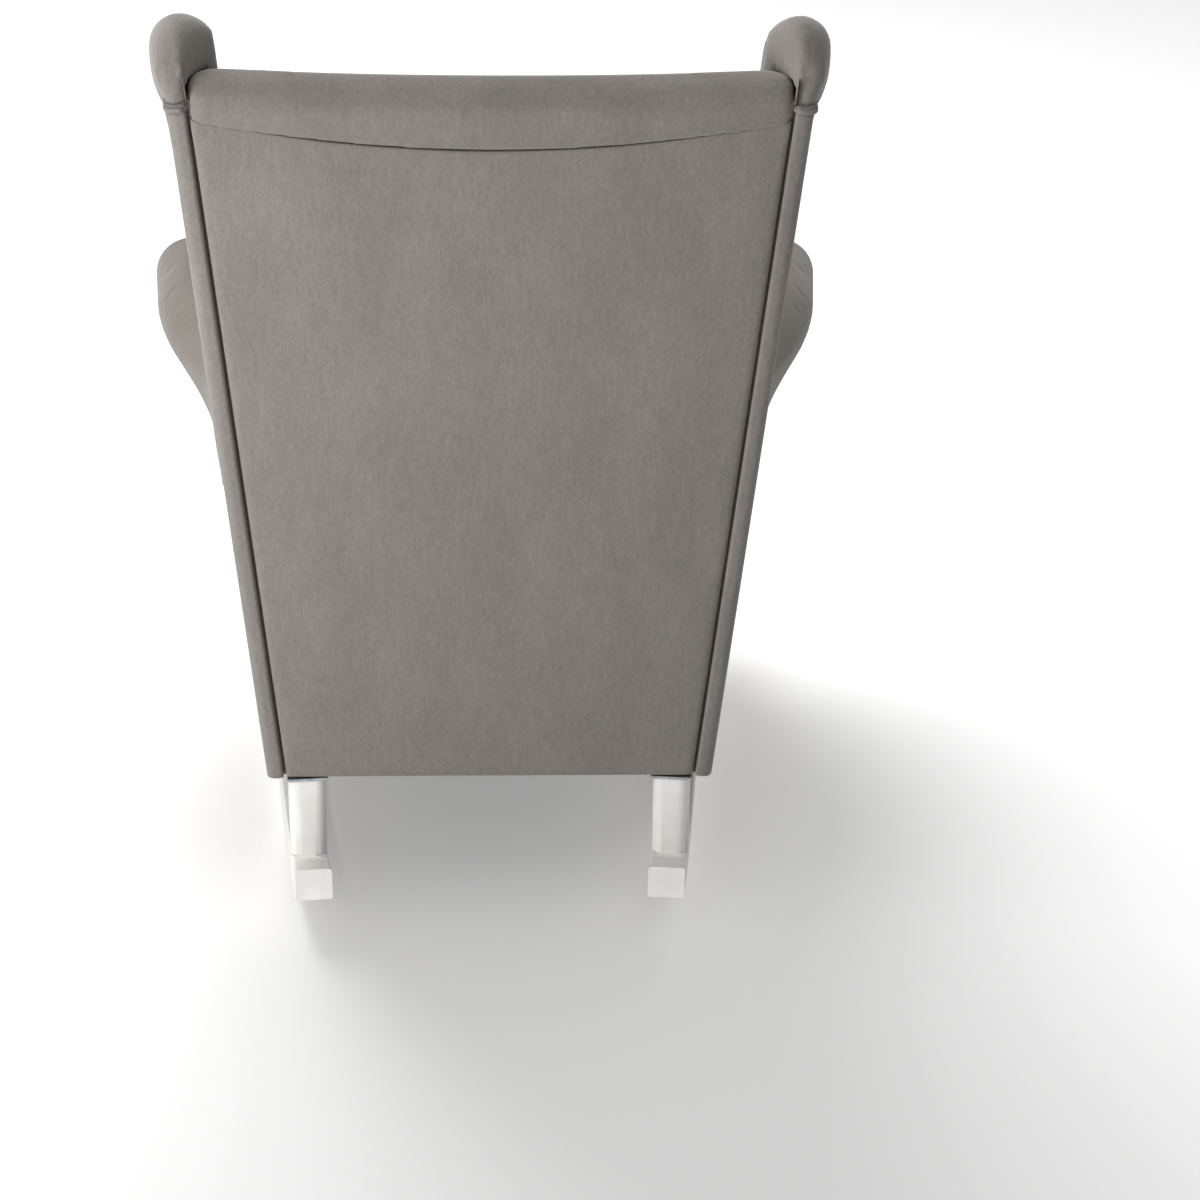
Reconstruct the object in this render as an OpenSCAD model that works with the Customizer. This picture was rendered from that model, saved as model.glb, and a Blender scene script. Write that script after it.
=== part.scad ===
// Wing chair on rockers: upholstered body on plywood sides, four painted legs, two curved rockers.
// +Z is up, the chair faces -Y, and the origin is on the floor under the middle of the chair.

/* [Body] */
// Width across the outside of the sides at the lower rear edge
rear_w = 480; // [400:4:580]
// Depth of the body at its base, rear face to arm fronts
body_d = 622; // [518:2:750]
// Distance of the lower rear edge behind the origin
rear_y = 275; // [258:1:298]
// Height of the body's underside above the floor
body_z = 160; // [140:1:190]
// Angle by which each side spreads outwards towards the front
splay = 5.8; // [3:0.2:8]
// Angle by which each side leans outwards towards the top
lean = 5.6; // [3:0.2:8]
// Angle by which the back leans to the rear
rake = 10.56; // [8:0.02:13]

/* [Back and wings] */
// Height of the wings' top at the rear, before rounding
wing_z = 1063; // [1000:1:1110]
// Height of the wings' top at its front corner, before rounding
wing_front_z = 978; // [930:1:1010]
// Height of the top of the back between the wings
back_z = 983; // [960:1:1010]
// Depth from the back's rear face to the front of its level top
back_ridge = 45; // [40:1:60]
// How far the back's top slopes down from there to its front face
back_slope = 66; // [40:2:90]
// Height at which the wings' gathered caps end on the rear edge
collar_z = 957; // [920:1:970]
// Height of the seam under the top roll, at the middle of the back
crease_z = 914; // [880:1:930]
// Rise of that seam from the middle to its ends
crease_sag = 32; // [10:1:50]
// Width over which that rise is measured
crease_w = 560; // [480:10:640]
// Thickness of the whole back
back_t = 130; // [115:1:160]
// Y of the wing's front top corner, before rounding
wing_top_y = 203; // [178:1:228]
// Y of the foremost point of the wing
waist_y = 118; // [98:1:133]
// Height of the foremost point of the wing
waist_z = 775; // [720:5:830]
// Thickness of the padding that a wing carries on its inner face
wing_in_t = 34; // [26:1:45]
// How far the wing's cap stands out of the side, down to the collar
cap_t = 10; // [4:1:20]
// How far it stands out below the collar
cap_low_t = 3; // [1:0.5:6]
// Width of the cap on the outside of the wing's front
cap_w = 79; // [60:1:90]

/* [Arms] */
// Height of the arm tops at the front
arm_z = 567; // [540:1:620]
// Height of the arm tops where they meet the wings
arm_root_z = 577; // [550:1:630]
// Y at which the arms meet the wings
arm_root_y = 140; // [134:1:168]
// Height of the seam below the arm pads
arm_seam_z = 470; // [440:1:490]
// How far the scroll stands out of the side at the arm's front
scroll_out = 58; // [30:1:80]
// Radius of the scroll at the arm's front
scroll_r = 40; // [30:1:45]
// Power by which the side swells out towards the scroll; a higher one keeps it flat for longer
swell_power = 5; // [2:0.1:6]
// Y at which the scroll starts to stand out
scroll_start_y = 158; // [143:5:188]
// Y at which the scroll stands out in full
scroll_full_y = -212; // [-270:2:-110]

/* [Seat] */
// Height of the seat cushion's top
seat_z = 445; // [420:1:480]
// Thickness of the seat cushion
cushion_t = 120; // [90:1:140]
// How far the cushion stands out in front of the arms
cushion_front = 25; // [5:1:40]
// Clearance of the cushion from the arms and the back
cushion_gap = 3; // [2:0.5:8]

/* [Frame] */
// Thickness of the plywood sides
board_t = 15; // [12:0.5:22]
// Thickness of the padding over the plywood's edges
edge_pad = 24; // [18:1:30]
// Thickness of the outside covers at the rear and front edges
cover_t = 10; // [8:1:12]
// Thickness of the outside covers on the plywood
skin_t = 2.8; // [2:0.1:4]
// Thickness of the seat rails
rail_t = 25; // [20:1:30]
// Height of the seat rails
rail_h = 103; // [80:1:108]
// Depth of the back posts, front to rear
post_d = 40; // [32:1:44]
// Width of the back posts
post_w = 30; // [24:1:34]
// Height of the two rails across the back
cross_h = 60; // [40:1:70]
// Gap between parts that are glued, stapled or screwed together
seam = 0.2; // [0.1:0.1:0.4]
// Gap of the visible groove beside the back panel
groove = 2.5; // [1:0.5:4]

/* [Springs and webbing] */
// Number of zigzag seat springs
spring_count = 5; // [4:1:6]
// Distance between springs
spring_pitch = 78; // [60:1:80]
// Diameter of the spring wire
wire_d = 3.6; // [3:0.1:4]
// Half width of the zigzag
zigzag_half = 22; // [15:1:24]
// Number of full zigzags along a spring
zigzags = 9; // [6:1:11]
// Number of webbing bands across the back
band_count = 5; // [4:1:6]
// Width of a webbing band
band_w = 50; // [30:1:60]

/* [Legs and rockers] */
// Radius of the rockers' underside; a deeper body than that below flattens the curve
rocker_r = 910; // [800:2:1200]
// Depth of the body for which that radius is given
rocker_body_d = 622; // [518:2:750]
// Y of the point on which the rockers rest
rest_y = 45; // [20:1:60]
// How far the rockers reach behind the rear legs' axes
rocker_rear_out = 95.5; // [60:0.5:140]
// How far the rockers reach in front of the front legs' axes
rocker_front_out = 105.5; // [60:0.5:140]
// Distance of each rocker's rear end inside the body's widest point at the lower rear edge
rocker_in = 51; // [45:1:60]
// Angle by which each rocker spreads towards the front
rocker_splay = 6; // [3:0.5:7]
// Width of a rocker
rocker_w = 39.5; // [36:0.5:50]
// Thickness of a rocker
rocker_t = 33; // [26:1:40]
// Length of the flat on which each rocker rests
rest_flat = 60; // [30:5:80]
// Width of a leg at its top
leg_top_w = 41; // [38:0.5:44]
// Width of a leg at its foot
leg_foot_w = 38.5; // [32:0.5:39]
// Radius of a leg's corners
leg_corner_r = 13; // [4:0.5:15]
// Side of the steel plate on each leg
plate_w = 44; // [42:1:50]
// Thickness of that plate
plate_t = 3; // [2:0.5:4]

/* [Fasteners] */
// Diameter of the bolts that hold the legs
bolt_d = 8; // [6:1:10]
// Diameter of the screws that hold the rockers
rocker_screw_d = 5; // [4:0.5:6]
// Diameter of the screws that hold the plywood
board_screw_d = 4.5; // [3.5:0.5:5.5]
// Diameter of the dowels in the back frame
dowel_d = 8; // [6:1:10]
// Clearance on diameter of each fastener in its hole
hole_gap = 0.3; // [0.2:0.1:0.6]

/* [Hidden] */
SIDES = [1, -1];

fabric = "#8d8781";
arm_fabric = "#7b736c";
timber = "#d2b48c";
ply = "#dcc49a";
white_paint = "#f4f3f1";
steel = "#9a9da0";
reach = 1500;                                // larger than the whole chair
rear_half = rear_w / 2;
front_y = rear_y - body_d;
inner_n = -(skin_t + seam + board_t + wing_in_t); // inner face of the side padding
board_out = -(skin_t + seam);                // outer and inner faces of the plywood
board_in = board_out - board_t;
strip_in = board_in + seam;                  // inner edge of the rear strip
deck_z = seat_z - cushion_t;
seam_drop = arm_z - arm_seam_z;              // from the arm's top down to the seam under its pad
rail_top = body_z + rail_h;
frame_back = cover_t + post_d;               // depth from the rear face to the posts' front
band_t = 1.9;                                // thickness of the webbing
pad_back = frame_back + 2 * seam + band_t;   // depth at which the inner back's padding starts
leg_top_z = body_z - plate_t - 2 * seam;
rear_leg_y = rear_y - cover_t - rail_t / 2;
front_leg_y = front_y + 2 * cover_t + rail_t / 2;
curve_r = rocker_r * pow(body_d / rocker_body_d, 2);
rocker_rear_y = rear_leg_y + rocker_rear_out;
rocker_front_y = front_leg_y - rocker_front_out;
base_trim = 20;                              // side pieces start this much low and are cut level
arc_fn = 256;

// ---------- Reference surfaces ----------

// World X of a side's outer surface, and Y of the back's rear face
function side_x(y, z) = rear_half + tan(splay) * (rear_y - y) + tan(lean) / cos(splay) * (z - body_z);
function side_h(z) = (z - body_z) / cos(lean);
function back_h(z) = (z - body_z) / cos(rake);

// Where a world (y, z) falls on a side's outer surface, as [forward, up]
function on_board(y, z) =
    let (h = side_h(z))
    [(rear_y - y + h * sin(lean) * sin(splay)) / cos(splay), h];

// Height up a side of the arm's top line less drop; level behind the arm's root
function arm_h(a, drop) =
    let (
        root = on_board(arm_root_y, arm_root_z),
        front = on_board(front_y, arm_z),
        t = max(0, (a - root[0]) / (front[0] - root[0]))
    )
    root[1] + (front[1] - root[1]) * t - drop / cos(lean);

// Forward distance on a side of a point that is depth in front of the back's rear face
function back_a(depth, n, h) =
    (depth
     + n * (sin(splay) * cos(lean) * cos(rake) + sin(lean) * sin(rake))
     + h * (sin(splay) * sin(lean) * cos(rake) - cos(lean) * sin(rake)))
    / (cos(splay) * cos(rake));

// Frame of a side: X forward along it, Y out of it, Z up it
module on_side(side) {
    mirror([side < 0 ? 1 : 0, 0, 0])
        translate([rear_half, rear_y, body_z])
            rotate([-lean, 0, splay - 90])
                children();
}

// Frame of the back: X across it, Y out to the rear, Z up it
module on_back() {
    translate([0, rear_y, body_z])
        rotate([-rake, 0, 0])
            children();
}

// An outline drawn as [across, up] becomes a slab between two distances out of its frame
module slab(inner, outer) {
    translate([0, outer, 0])
        rotate([90, 0, 0])
            linear_extrude(outer - inner)
                children();
}

// What lies between the two sides, stopping inset short of their outer surfaces
module between_sides(inset) {
    difference() {
        children();
        for (side = SIDES)
            on_side(side)
                translate([-reach, -inset, -reach])
                    cube([2 * reach, reach, 3 * reach]);
    }
}

// What lies above the body's underside
module level_base() {
    difference() {
        children();
        translate([-reach, -reach, body_z - reach])
            cube([2 * reach, 2 * reach, reach]);
    }
}

// Everything behind a plane parallel to the back's rear face
module behind(depth) {
    on_back()
        translate([-reach, -depth, -reach])
            cube([2 * reach, reach, 3 * reach]);
}

// A box across the whole width, from y0 to y1 and z0 to z1
module crossbar(y0, y1, z0, z1) {
    translate([-reach / 2, y0, z0])
        cube([reach, y1 - y0, z1 - z0]);
}

// The same in the frame of the back, by depth and height up the back
module back_bar(depth0, depth1, h0, h1) {
    on_back()
        translate([-reach / 2, -depth1, h0])
            cube([reach, depth1 - depth0, h1 - h0]);
}

// ---------- Outlines ----------

function unit(v) = v / norm(v);

// Points of the arc of radius r that rounds corner q between p and s
function corner_arc(p, q, s, r, steps = 10) =
    let (
        u = unit(p - q),
        v = unit(s - q),
        half = acos(u * v) / 2,
        c = q + unit(u + v) * r / sin(half),
        from = q + u * r / tan(half) - c,
        to = q + v * r / tan(half) - c,
        a0 = atan2(from[1], from[0]),
        turn = atan2(from[0] * to[1] - from[1] * to[0], from * to)
    )
    [for (k = [0 : steps]) c + r * [cos(a0 + turn * k / steps), sin(a0 + turn * k / steps)]];

// An outline whose corner i is rounded with radii[i], or left sharp at 0
function rounded(points, radii) =
    let (n = len(points))
    [for (i = [0 : n - 1])
        each radii[i] == 0 ? [points[i]]
            : corner_arc(points[(i + n - 1) % n], points[i], points[(i + 1) % n], radii[i])];

// Silhouette of a side, set in by wing_in at the wing, arm_in at the arm top and edge_in at the ends,
// with its rear top corner lower by drop
function side_outline(wing_in, arm_in, edge_in, rear_r, top_r, drop = 0) =
    let (
        top = side_h(wing_z - wing_in - drop),
        root = on_board(arm_root_y + wing_in, arm_root_z - arm_in),
        front = on_board(front_y, arm_z - arm_in),
        end = edge_in / cos(splay)
    )
    rounded(
        [
            [back_a(edge_in, 0, -base_trim), -base_trim],
            [back_a(edge_in, 0, top), top],
            on_board(wing_top_y + wing_in, wing_front_z - wing_in),
            on_board(waist_y + wing_in, waist_z),
            root,
            [front[0] - end, front[1]],
            on_board(front_y, body_z - base_trim) - [end, 0]
        ],
        [0, rear_r, top_r, 150, wing_in > 50 ? 20 : 60, edge_in > 0 ? 30 : 0, 0]
    );

module silhouette() {
    polygon(side_outline(0, 0, 0, 60, 110));
}

module board_outline(grow) {
    polygon(side_outline(edge_pad - grow, edge_pad - grow, cover_t - grow, 45, 85));
}

// Flat area of the outside cover, up to the wing's cap and the arm's seam
module cover_outline(grow) {
    polygon(side_outline(cap_w - grow, arm_z - arm_seam_z - grow, 0, 0, 60, wing_z - collar_z - cap_w));
}

// The side's area that belongs to the wing: above the arm, and behind its root down to the seam
module wing_zone() {
    root = on_board(arm_root_y, arm_root_z);
    front = on_board(front_y, arm_z);
    seam_h = arm_h(0, seam_drop) + seam;
    intersection() {
        silhouette();
        polygon([
            [-reach / 2, seam_h],
            [root[0] - seam, seam_h],
            [root[0] - seam, root[1] + seam],
            [front[0], front[1] + seam],
            [front[0], reach],
            [-reach / 2, reach]
        ]);
    }
}

// ---------- Lofts ----------

// A closed skin through rings of points, all with the same count and anticlockwise seen from the last ring
module skin(rings) {
    n = len(rings[0]);
    last = (len(rings) - 1) * n;
    polyhedron(
        points = [for (ring = rings) each ring],
        faces = [
            [for (k = [0 : n - 1]) k],
            [for (k = [0 : n - 1]) last + (n - k) % n],
            for (i = [0 : len(rings) - 2])
                for (k = [0 : n - 1])
                    [i * n + k, (i + 1) * n + k, (i + 1) * n + (k + 1) % n, i * n + (k + 1) % n]
        ]
    );
}

// Share of its full reach that the scroll has at a distance forward on the side
function scroll_share(a) =
    let (
        start = on_board(scroll_start_y, arm_z)[0],
        full = on_board(scroll_full_y, arm_z)[0],
        t = max(0, min(1, (a - start) / (full - start)))
    )
    t * t * (3 - 2 * t);

// How far the outside cover stands out at a height on the side, under the scroll in full
function cover_swell(h) = scroll_out * pow(max(0, h) / side_h(arm_z - scroll_r), swell_power);

root_share = 0.7;                            // radius at the arm's root as a share of the scroll's
pad_inner_r = 18;                            // radius of the arm pad's upper inner edge
belly_out = 0.8;                             // the pad's outer face is fullest at this share of its reach
belly_up = 0.5;                              // and at this share of the height below its round

// Cross-section of an arm pad at a distance forward, drawn in by tuck near the front
function arm_ring(a, tuck) =
    let (
        share = scroll_share(a),
        top = arm_h(a, 0) - tuck - seam,
        low = arm_h(a, seam_drop) + seam,
        r_out = (root_share + (1 - root_share) * share) * scroll_r,
        r_in = pad_inner_r,
        out = scroll_out * share - tuck,
        inner = inner_n + tuck,
        seam_out = cover_swell(low) * share - tuck
    )
    [
        [a, inner, low],
        [a, seam_out, low],
        [a, seam_out + belly_out * (out - seam_out), low + belly_up * (top - r_out - low)],
        for (k = [0 : 8]) [a, out - r_out + r_out * cos(k * 90 / 8), top - r_out + r_out * sin(k * 90 / 8)],
        for (k = [0 : 4]) [a, inner + r_in - r_in * sin(k * 90 / 4), top - r_in + r_in * cos(k * 90 / 4)]
    ];

// A round wire along a path that stays close to level
module wire(path, d) {
    sides = 6;
    last = len(path) - 1;
    skin([
        for (i = [0 : last])
            let (
                along = unit(path[min(i + 1, last)] - path[max(i - 1, 0)]),
                across = unit(cross([0, 0, 1], along)),
                up = cross(along, across)
            )
            [for (k = [0 : sides - 1])
                path[i] + d / 2 * (cos(k * 360 / sides) * across + sin(k * 360 / sides) * up)]
    ]);
}

// ---------- Rockers and legs ----------

function rocker_x(y) = rear_half - rocker_in + tan(rocker_splay) * (rocker_rear_y - y);
function along_rocker(y) = (y - rest_y) / cos(rocker_splay);
rest_sag = curve_r - sqrt(curve_r * curve_r - rest_flat * rest_flat / 4);

// Height of the rockers' underside at a world Y
function underside(y) = curve_r - sqrt(curve_r * curve_r - pow(along_rocker(y), 2)) - rest_sag;

LEG_Y = [rear_leg_y, front_leg_y];
screw_pair = 9;                              // half the distance between a leg's two screws
screw_head_h = 4;
screw_head_d = 2 * rocker_screw_d;
screw_sink = 12;                             // depth of the screw heads' seats in the rocker
screw_l = 42;

// Frame of a rocker, with its arc's lowest point just below the floor
module on_rocker(side) {
    mirror([side < 0 ? 1 : 0, 0, 0])
        translate([rocker_x(rest_y), rest_y, -rest_sag])
            rotate([0, 0, rocker_splay])
                children();
}

// Frame of a leg: on the floor below it, turned with its rocker
module at_leg(side, y) {
    mirror([side < 0 ? 1 : 0, 0, 0])
        translate([rocker_x(y), y, 0])
            rotate([0, 0, rocker_splay])
                children();
}

// The two screws of a leg, or the holes for them with their seats open below
module leg_screws(side, y, gap, open) {
    at_leg(side, y)
        for (s = SIDES)
            translate([0, s * screw_pair, underside(y) + screw_sink]) {
                translate([0, 0, -seam])
                    cylinder(d = rocker_screw_d + gap, h = screw_l + gap + seam, $fn = 32);
                translate([0, 0, -screw_head_h - open])
                    cylinder(d = screw_head_d + gap, h = screw_head_h + open, $fn = 32);
            }
}

module rocker(side) {
    front_angle = asin(-along_rocker(rocker_front_y) / curve_r);
    rear_angle = asin(along_rocker(rocker_rear_y) / curve_r);
    w = rocker_w / 2;
    section = [
        [curve_r - rocker_t, -w], [curve_r, -w], [curve_r, w], [curve_r - rocker_t, w]
    ];
    color(white_paint)
        difference() {
            on_rocker(side)
                translate([0, 0, curve_r])
                    rotate([0, 90, 0])
                        rotate([0, 0, -front_angle])
                            rotate_extrude(angle = front_angle + rear_angle, $fn = arc_fn)
                                polygon(rounded(section, [3, 3, 3, 3]));
            translate([-reach, -reach, -reach])
                cube([2 * reach, 2 * reach, reach]);
            for (y = LEG_Y)
                leg_screws(side, y, hole_gap, screw_sink + 10);
        }
}

// A tapered square post with round corners, its foot cut to the rocker's top
module leg(side, y) {
    foot = underside(y);
    top_off = leg_top_w / 2 - leg_corner_r;
    foot_off = leg_foot_w / 2 - leg_corner_r;
    color(white_paint)
        difference() {
            intersection() {
                at_leg(side, y)
                    hull()
                        for (i = SIDES)
                            for (j = SIDES) {
                                translate([i * foot_off, j * foot_off, foot])
                                    cylinder(r = leg_corner_r, h = 1, $fn = 32);
                                translate([i * top_off, j * top_off, leg_top_z - 1])
                                    cylinder(r = leg_corner_r, h = 1, $fn = 32);
                            }
                on_rocker(side)
                    translate([-2 * rocker_w, 0, curve_r])
                        rotate([0, 90, 0])
                            cylinder(r = curve_r - rocker_t - seam, h = 4 * rocker_w, $fn = arc_fn);
            }
            leg_screws(side, y, hole_gap, 0);
            at_leg(side, y)
                translate([0, 0, leg_top_z - bolt_in_leg - hole_gap])
                    cylinder(d = bolt_d + hole_gap, h = bolt_in_leg + 10, $fn = 48);
        }
}

bolt_in_leg = 35;
bolt_in_rail = 45;

module leg_plates() {
    color(steel)
        for (side = SIDES)
            for (y = LEG_Y)
                at_leg(side, y)
                    translate([0, 0, leg_top_z + seam])
                        difference() {
                            translate([-plate_w / 2, -plate_w / 2, 0])
                                cube([plate_w, plate_w, plate_t]);
                            translate([0, 0, -1])
                                cylinder(d = bolt_d + 2 * hole_gap, h = plate_t + 2, $fn = 48);
                        }
}

module leg_bolts(gap) {
    color(steel)
        for (side = SIDES)
            for (y = LEG_Y)
                at_leg(side, y)
                    translate([0, 0, leg_top_z - bolt_in_leg])
                        cylinder(d = bolt_d + gap, h = bolt_in_leg + plate_t + bolt_in_rail + gap, $fn = 48);
}

module rocker_screws() {
    color(steel)
        for (side = SIDES)
            for (y = LEG_Y)
                leg_screws(side, y, 0, 0);
}

// ---------- Timber frame ----------

board_screw_l = board_t + rail_t - 1;
head_t = 3;
head_d = 2 * board_screw_d;
rear_rail_y = rear_y - cover_t - rail_t;
front_rail_y = front_y + 2 * cover_t;
cross_low_h = back_h(rail_top) + 45;         // foot of the lower back rail, up the back
cross_top_h = back_h(back_z) - 22;           // top of the top rail, up the back
frame_gap = 8;                               // of the posts above the seat rails
dowel_in_rail = 24;
dowel_in_post = 25;

// Screws through the plywood: [forward, up] on a side
RAIL_SCREWS = [
    for (a = [0.12, 0.5, 0.88])
        for (h = [0.3, 0.75])
            [on_board(rear_rail_y, body_z)[0] + a * (rear_rail_y - front_rail_y - rail_t), h * rail_h]
];
POST_SCREWS = [
    for (h = [0.3, 0.55, 0.8])
        [back_a(cover_t + post_d / 2, board_in - post_w / 2, h * cross_top_h), h * cross_top_h]
];

// One side's screws, or the holes for them
module board_screws(side, gap) {
    on_side(side)
        for (spot = concat(RAIL_SCREWS, POST_SCREWS))
            translate([spot[0], board_out, spot[1]])
                rotate([90, 0, 0]) {
                    cylinder(d = board_screw_d + gap, h = board_screw_l + gap, $fn = 32);
                    cylinder(d = head_d + gap, h = head_t + gap / 2, $fn = 32);
                }
}

// One side's dowels between its post and the two cross rails, or the holes for them
module post_dowels(side, gap) {
    from = board_in - post_w + dowel_in_post;
    on_side(side)
        for (h = [cross_low_h + cross_h * 0.25, cross_low_h + cross_h * 0.75,
                  cross_top_h - cross_h * 0.75, cross_top_h - cross_h * 0.25])
            translate([back_a(cover_t + post_d / 2, from, h), from + gap, h])
                rotate([90, 0, 0])
                    cylinder(d = dowel_d + gap, h = dowel_in_post + dowel_in_rail + 2 * gap, $fn = 48);
}

module side_board(side) {
    color(ply)
        difference() {
            level_base()
                on_side(side)
                    slab(board_in, board_out)
                        board_outline(0);
            board_screws(side, hole_gap);
        }
}

module side_rail(side) {
    color(timber)
        difference() {
            intersection() {
                on_side(side)
                    slab(board_in - seam - rail_t, board_in - seam)
                        translate([0, -base_trim])
                            square([body_d, rail_h * 2]);
                crossbar(front_rail_y + rail_t + seam, rear_rail_y - seam, body_z, rail_top);
            }
            board_screws(side, hole_gap);
        }
}

module front_rail() {
    color(timber)
        difference() {
            between_sides(seam - board_in)
                crossbar(front_rail_y, front_rail_y + rail_t, body_z, rail_top);
            leg_bolts(hole_gap);
        }
}

module rear_rail() {
    color(timber)
        difference() {
            between_sides(seam - board_in)
                crossbar(rear_rail_y, rear_rail_y + rail_t, body_z, rail_top);
            leg_bolts(hole_gap);
        }
}

// Triangular blocks glued into the corners of the seat frame
module corner_blocks() {
    inset = rail_t + 2 * seam - board_in;
    leg_l = 70;
    below_edge = 15;                         // clear of the rails' upper and lower edges
    past = 10;                               // drawn this far past the side rail, then cut
    color(timber)
        between_sides(inset)
            for (side = SIDES)
                for (end = [[rear_rail_y - seam, -1], [front_rail_y + rail_t + seam, 1]]) {
                    x = side_x(end[0], rail_top) - inset;
                    translate([0, 0, body_z + below_edge])
                        linear_extrude(rail_h - 2 * below_edge)
                            polygon([
                                [side * (x + past), end[0]],
                                [side * (x - leg_l), end[0]],
                                [side * (x + past), end[0] + end[1] * (leg_l + past)]
                            ]);
                }
}

module back_post(side) {
    color(timber)
        difference() {
            intersection() {
                on_side(side)
                    slab(board_in - post_w, board_in - seam)
                        translate([-reach / 2, 0])
                            square([reach, reach]);
                back_bar(cover_t + seam, frame_back, back_h(rail_top) + frame_gap, cross_top_h);
            }
            board_screws(side, hole_gap);
            post_dowels(side, hole_gap);
        }
}

// A rail across the back between the posts, with its foot at a height up the back
module cross_rail(foot) {
    color(timber)
        difference() {
            between_sides(post_w + seam - board_in)
                back_bar(cover_t + seam, frame_back, foot, foot + cross_h);
            for (side = SIDES)
                post_dowels(side, hole_gap);
        }
}

arm_rail_t = 24;
arm_rail_h = 38;
arm_rail_down = 32;                          // below the arm's top
arm_rail_front = 35;                         // behind the arm's front
arm_rail_rear = 120;                         // behind the point where the scroll stands out in full

// A rail outside the plywood that carries the scroll of an arm
module arm_rail_block(side, grow) {
    a0 = on_board(scroll_full_y + arm_rail_rear, arm_z)[0];
    a1 = on_board(front_y, arm_z)[0] - arm_rail_front;
    h0 = side_h(arm_z) - arm_rail_down - arm_rail_h;
    on_side(side)
        translate([a0 - grow, board_out + seam - grow / 2, h0 - grow])
            cube([a1 - a0 + 2 * grow, arm_rail_t + grow, arm_rail_h + 2 * grow]);
}

module arm_rail(side) {
    color(timber)
        arm_rail_block(side, 0);
}

module frame_screws() {
    color(steel)
        for (side = SIDES)
            board_screws(side, 0);
}

module frame_dowels() {
    color(timber)
        for (side = SIDES)
            post_dowels(side, 0);
}

// ---------- Springs and webbing ----------

clip_l = 16;
clip_w = 16;
clip_h = 8;
spring_z = rail_top + clip_h / 2 + seam;     // height of the wire in its clips
spring_rise = 12;
spring_top = spring_z + spring_rise + wire_d / 2;

// X of each spring
SPRING_X = [for (i = [0 : spring_count - 1]) (i - (spring_count - 1) / 2) * spring_pitch];

// Path of one spring: straight ends in the clips, a level zigzag with a slight crown between
function spring_path(x) =
    let (
        y0 = front_rail_y + rail_t / 2 - clip_l / 2,
        y1 = rear_rail_y + rail_t / 2 + clip_l / 2,
        z0 = y0 + clip_l + 4,
        z1 = y1 - clip_l - 4,
        steps = zigzags * 6
    )
    [
        [x, y0, spring_z],
        for (i = [0 : steps])
            let (
                t = i / steps,
                aside = zigzag_half * sin(360 * zigzags * t)
            )
            [x + aside, z0 + (z1 - z0) * t, spring_z + spring_rise * sin(180 * t)],
        [x, y1, spring_z]
    ];

module seat_springs() {
    color(steel)
        for (x = SPRING_X)
            wire(spring_path(x), wire_d);
}

module spring_clips() {
    color(steel)
        for (x = SPRING_X)
            for (y = [front_rail_y + rail_t / 2, rear_rail_y + rail_t / 2])
                translate([x, y, spring_z])
                    difference() {
                        cube([clip_w, clip_l, clip_h], center = true);
                        rotate([90, 0, 0])
                            cylinder(d = wire_d + 2 * hole_gap, h = 2 * clip_l, center = true, $fn = 32);
                    }
}

module back_webbing() {
    from_rail = 25;
    low = cross_low_h + cross_h + from_rail;
    step = (cross_top_h - cross_h - from_rail - band_w - low) / (band_count - 1);
    color("#4a4642")
        between_sides(2 * seam - board_in)
            for (foot = [for (i = [0 : band_count - 1]) low + i * step])
                back_bar(frame_back + seam, frame_back + seam + band_t, foot, foot + band_w);
}

// ---------- Upholstery ----------

crease_r = (crease_w * crease_w / 4 + crease_sag * crease_sag) / (2 * crease_sag);

// Round bar across the back, from front to rear, whose lower edge is the seam under the top roll
module crease_cylinder(grow) {
    on_back()
        translate([0, 0, back_h(crease_z) + crease_r])
            rotate([90, 0, 0])
                cylinder(r = crease_r + grow, h = reach, center = true, $fn = arc_fn);
}

module seat_deck() {
    color(fabric)
        difference() {
            between_sides(seam - board_in)
                crossbar(front_y + 2 * cover_t + seam, rear_y + cover_t, spring_top + seam, deck_z - seam);
            behind(pad_back + seam);
        }
}

module front_border() {
    color(fabric)
        between_sides(seam - board_in)
            crossbar(front_y, front_y + 2 * cover_t - seam, body_z, deck_z - seam);
}

// What lies between two depths in front of the back's rear face, below the back's rounded top
module back_section(depth0, depth1) {
    top = back_h(back_z);
    ridge_fall = 4;                          // slight fall of the level part towards its front
    rear_r = 30;
    front_r = 45;
    profile = rounded(
        [[-back_t, 0], [-back_t, top - back_slope], [-back_ridge, top - ridge_fall], [0, top], [0, 0]],
        [0, front_r, rear_r, rear_r, 0]
    );
    on_back()
        rotate([90, 0, 90])
            linear_extrude(reach, center = true)
                intersection() {
                    polygon(profile);
                    translate([-depth1, 0])
                        square([depth1 - depth0, reach]);
                }
}

module inner_back() {
    color(fabric)
        difference() {
            between_sides(seam - inner_n)
                intersection() {
                    back_section(pad_back, back_t);
                    back_bar(pad_back, back_t, back_h(deck_z) + frame_gap, back_h(back_z));
                }
            crease_cylinder(seam);
        }
}

module top_roll() {
    color(fabric)
        difference() {
            intersection() {
                union() {
                    between_sides(groove - strip_in)
                        back_section(0, pad_back + seam);
                    between_sides(seam - inner_n)
                        back_section(pad_back + seam, back_t);
                }
                crease_cylinder(0);
            }
            back_bar(cover_t, pad_back - seam, 0, cross_top_h + seam);
        }
}

module back_panel() {
    color(fabric)
        level_base()
            difference() {
                between_sides(groove - strip_in)
                    back_bar(0, cover_t - seam, -base_trim, back_h(back_z));
                crease_cylinder(seam);
            }
}

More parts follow.
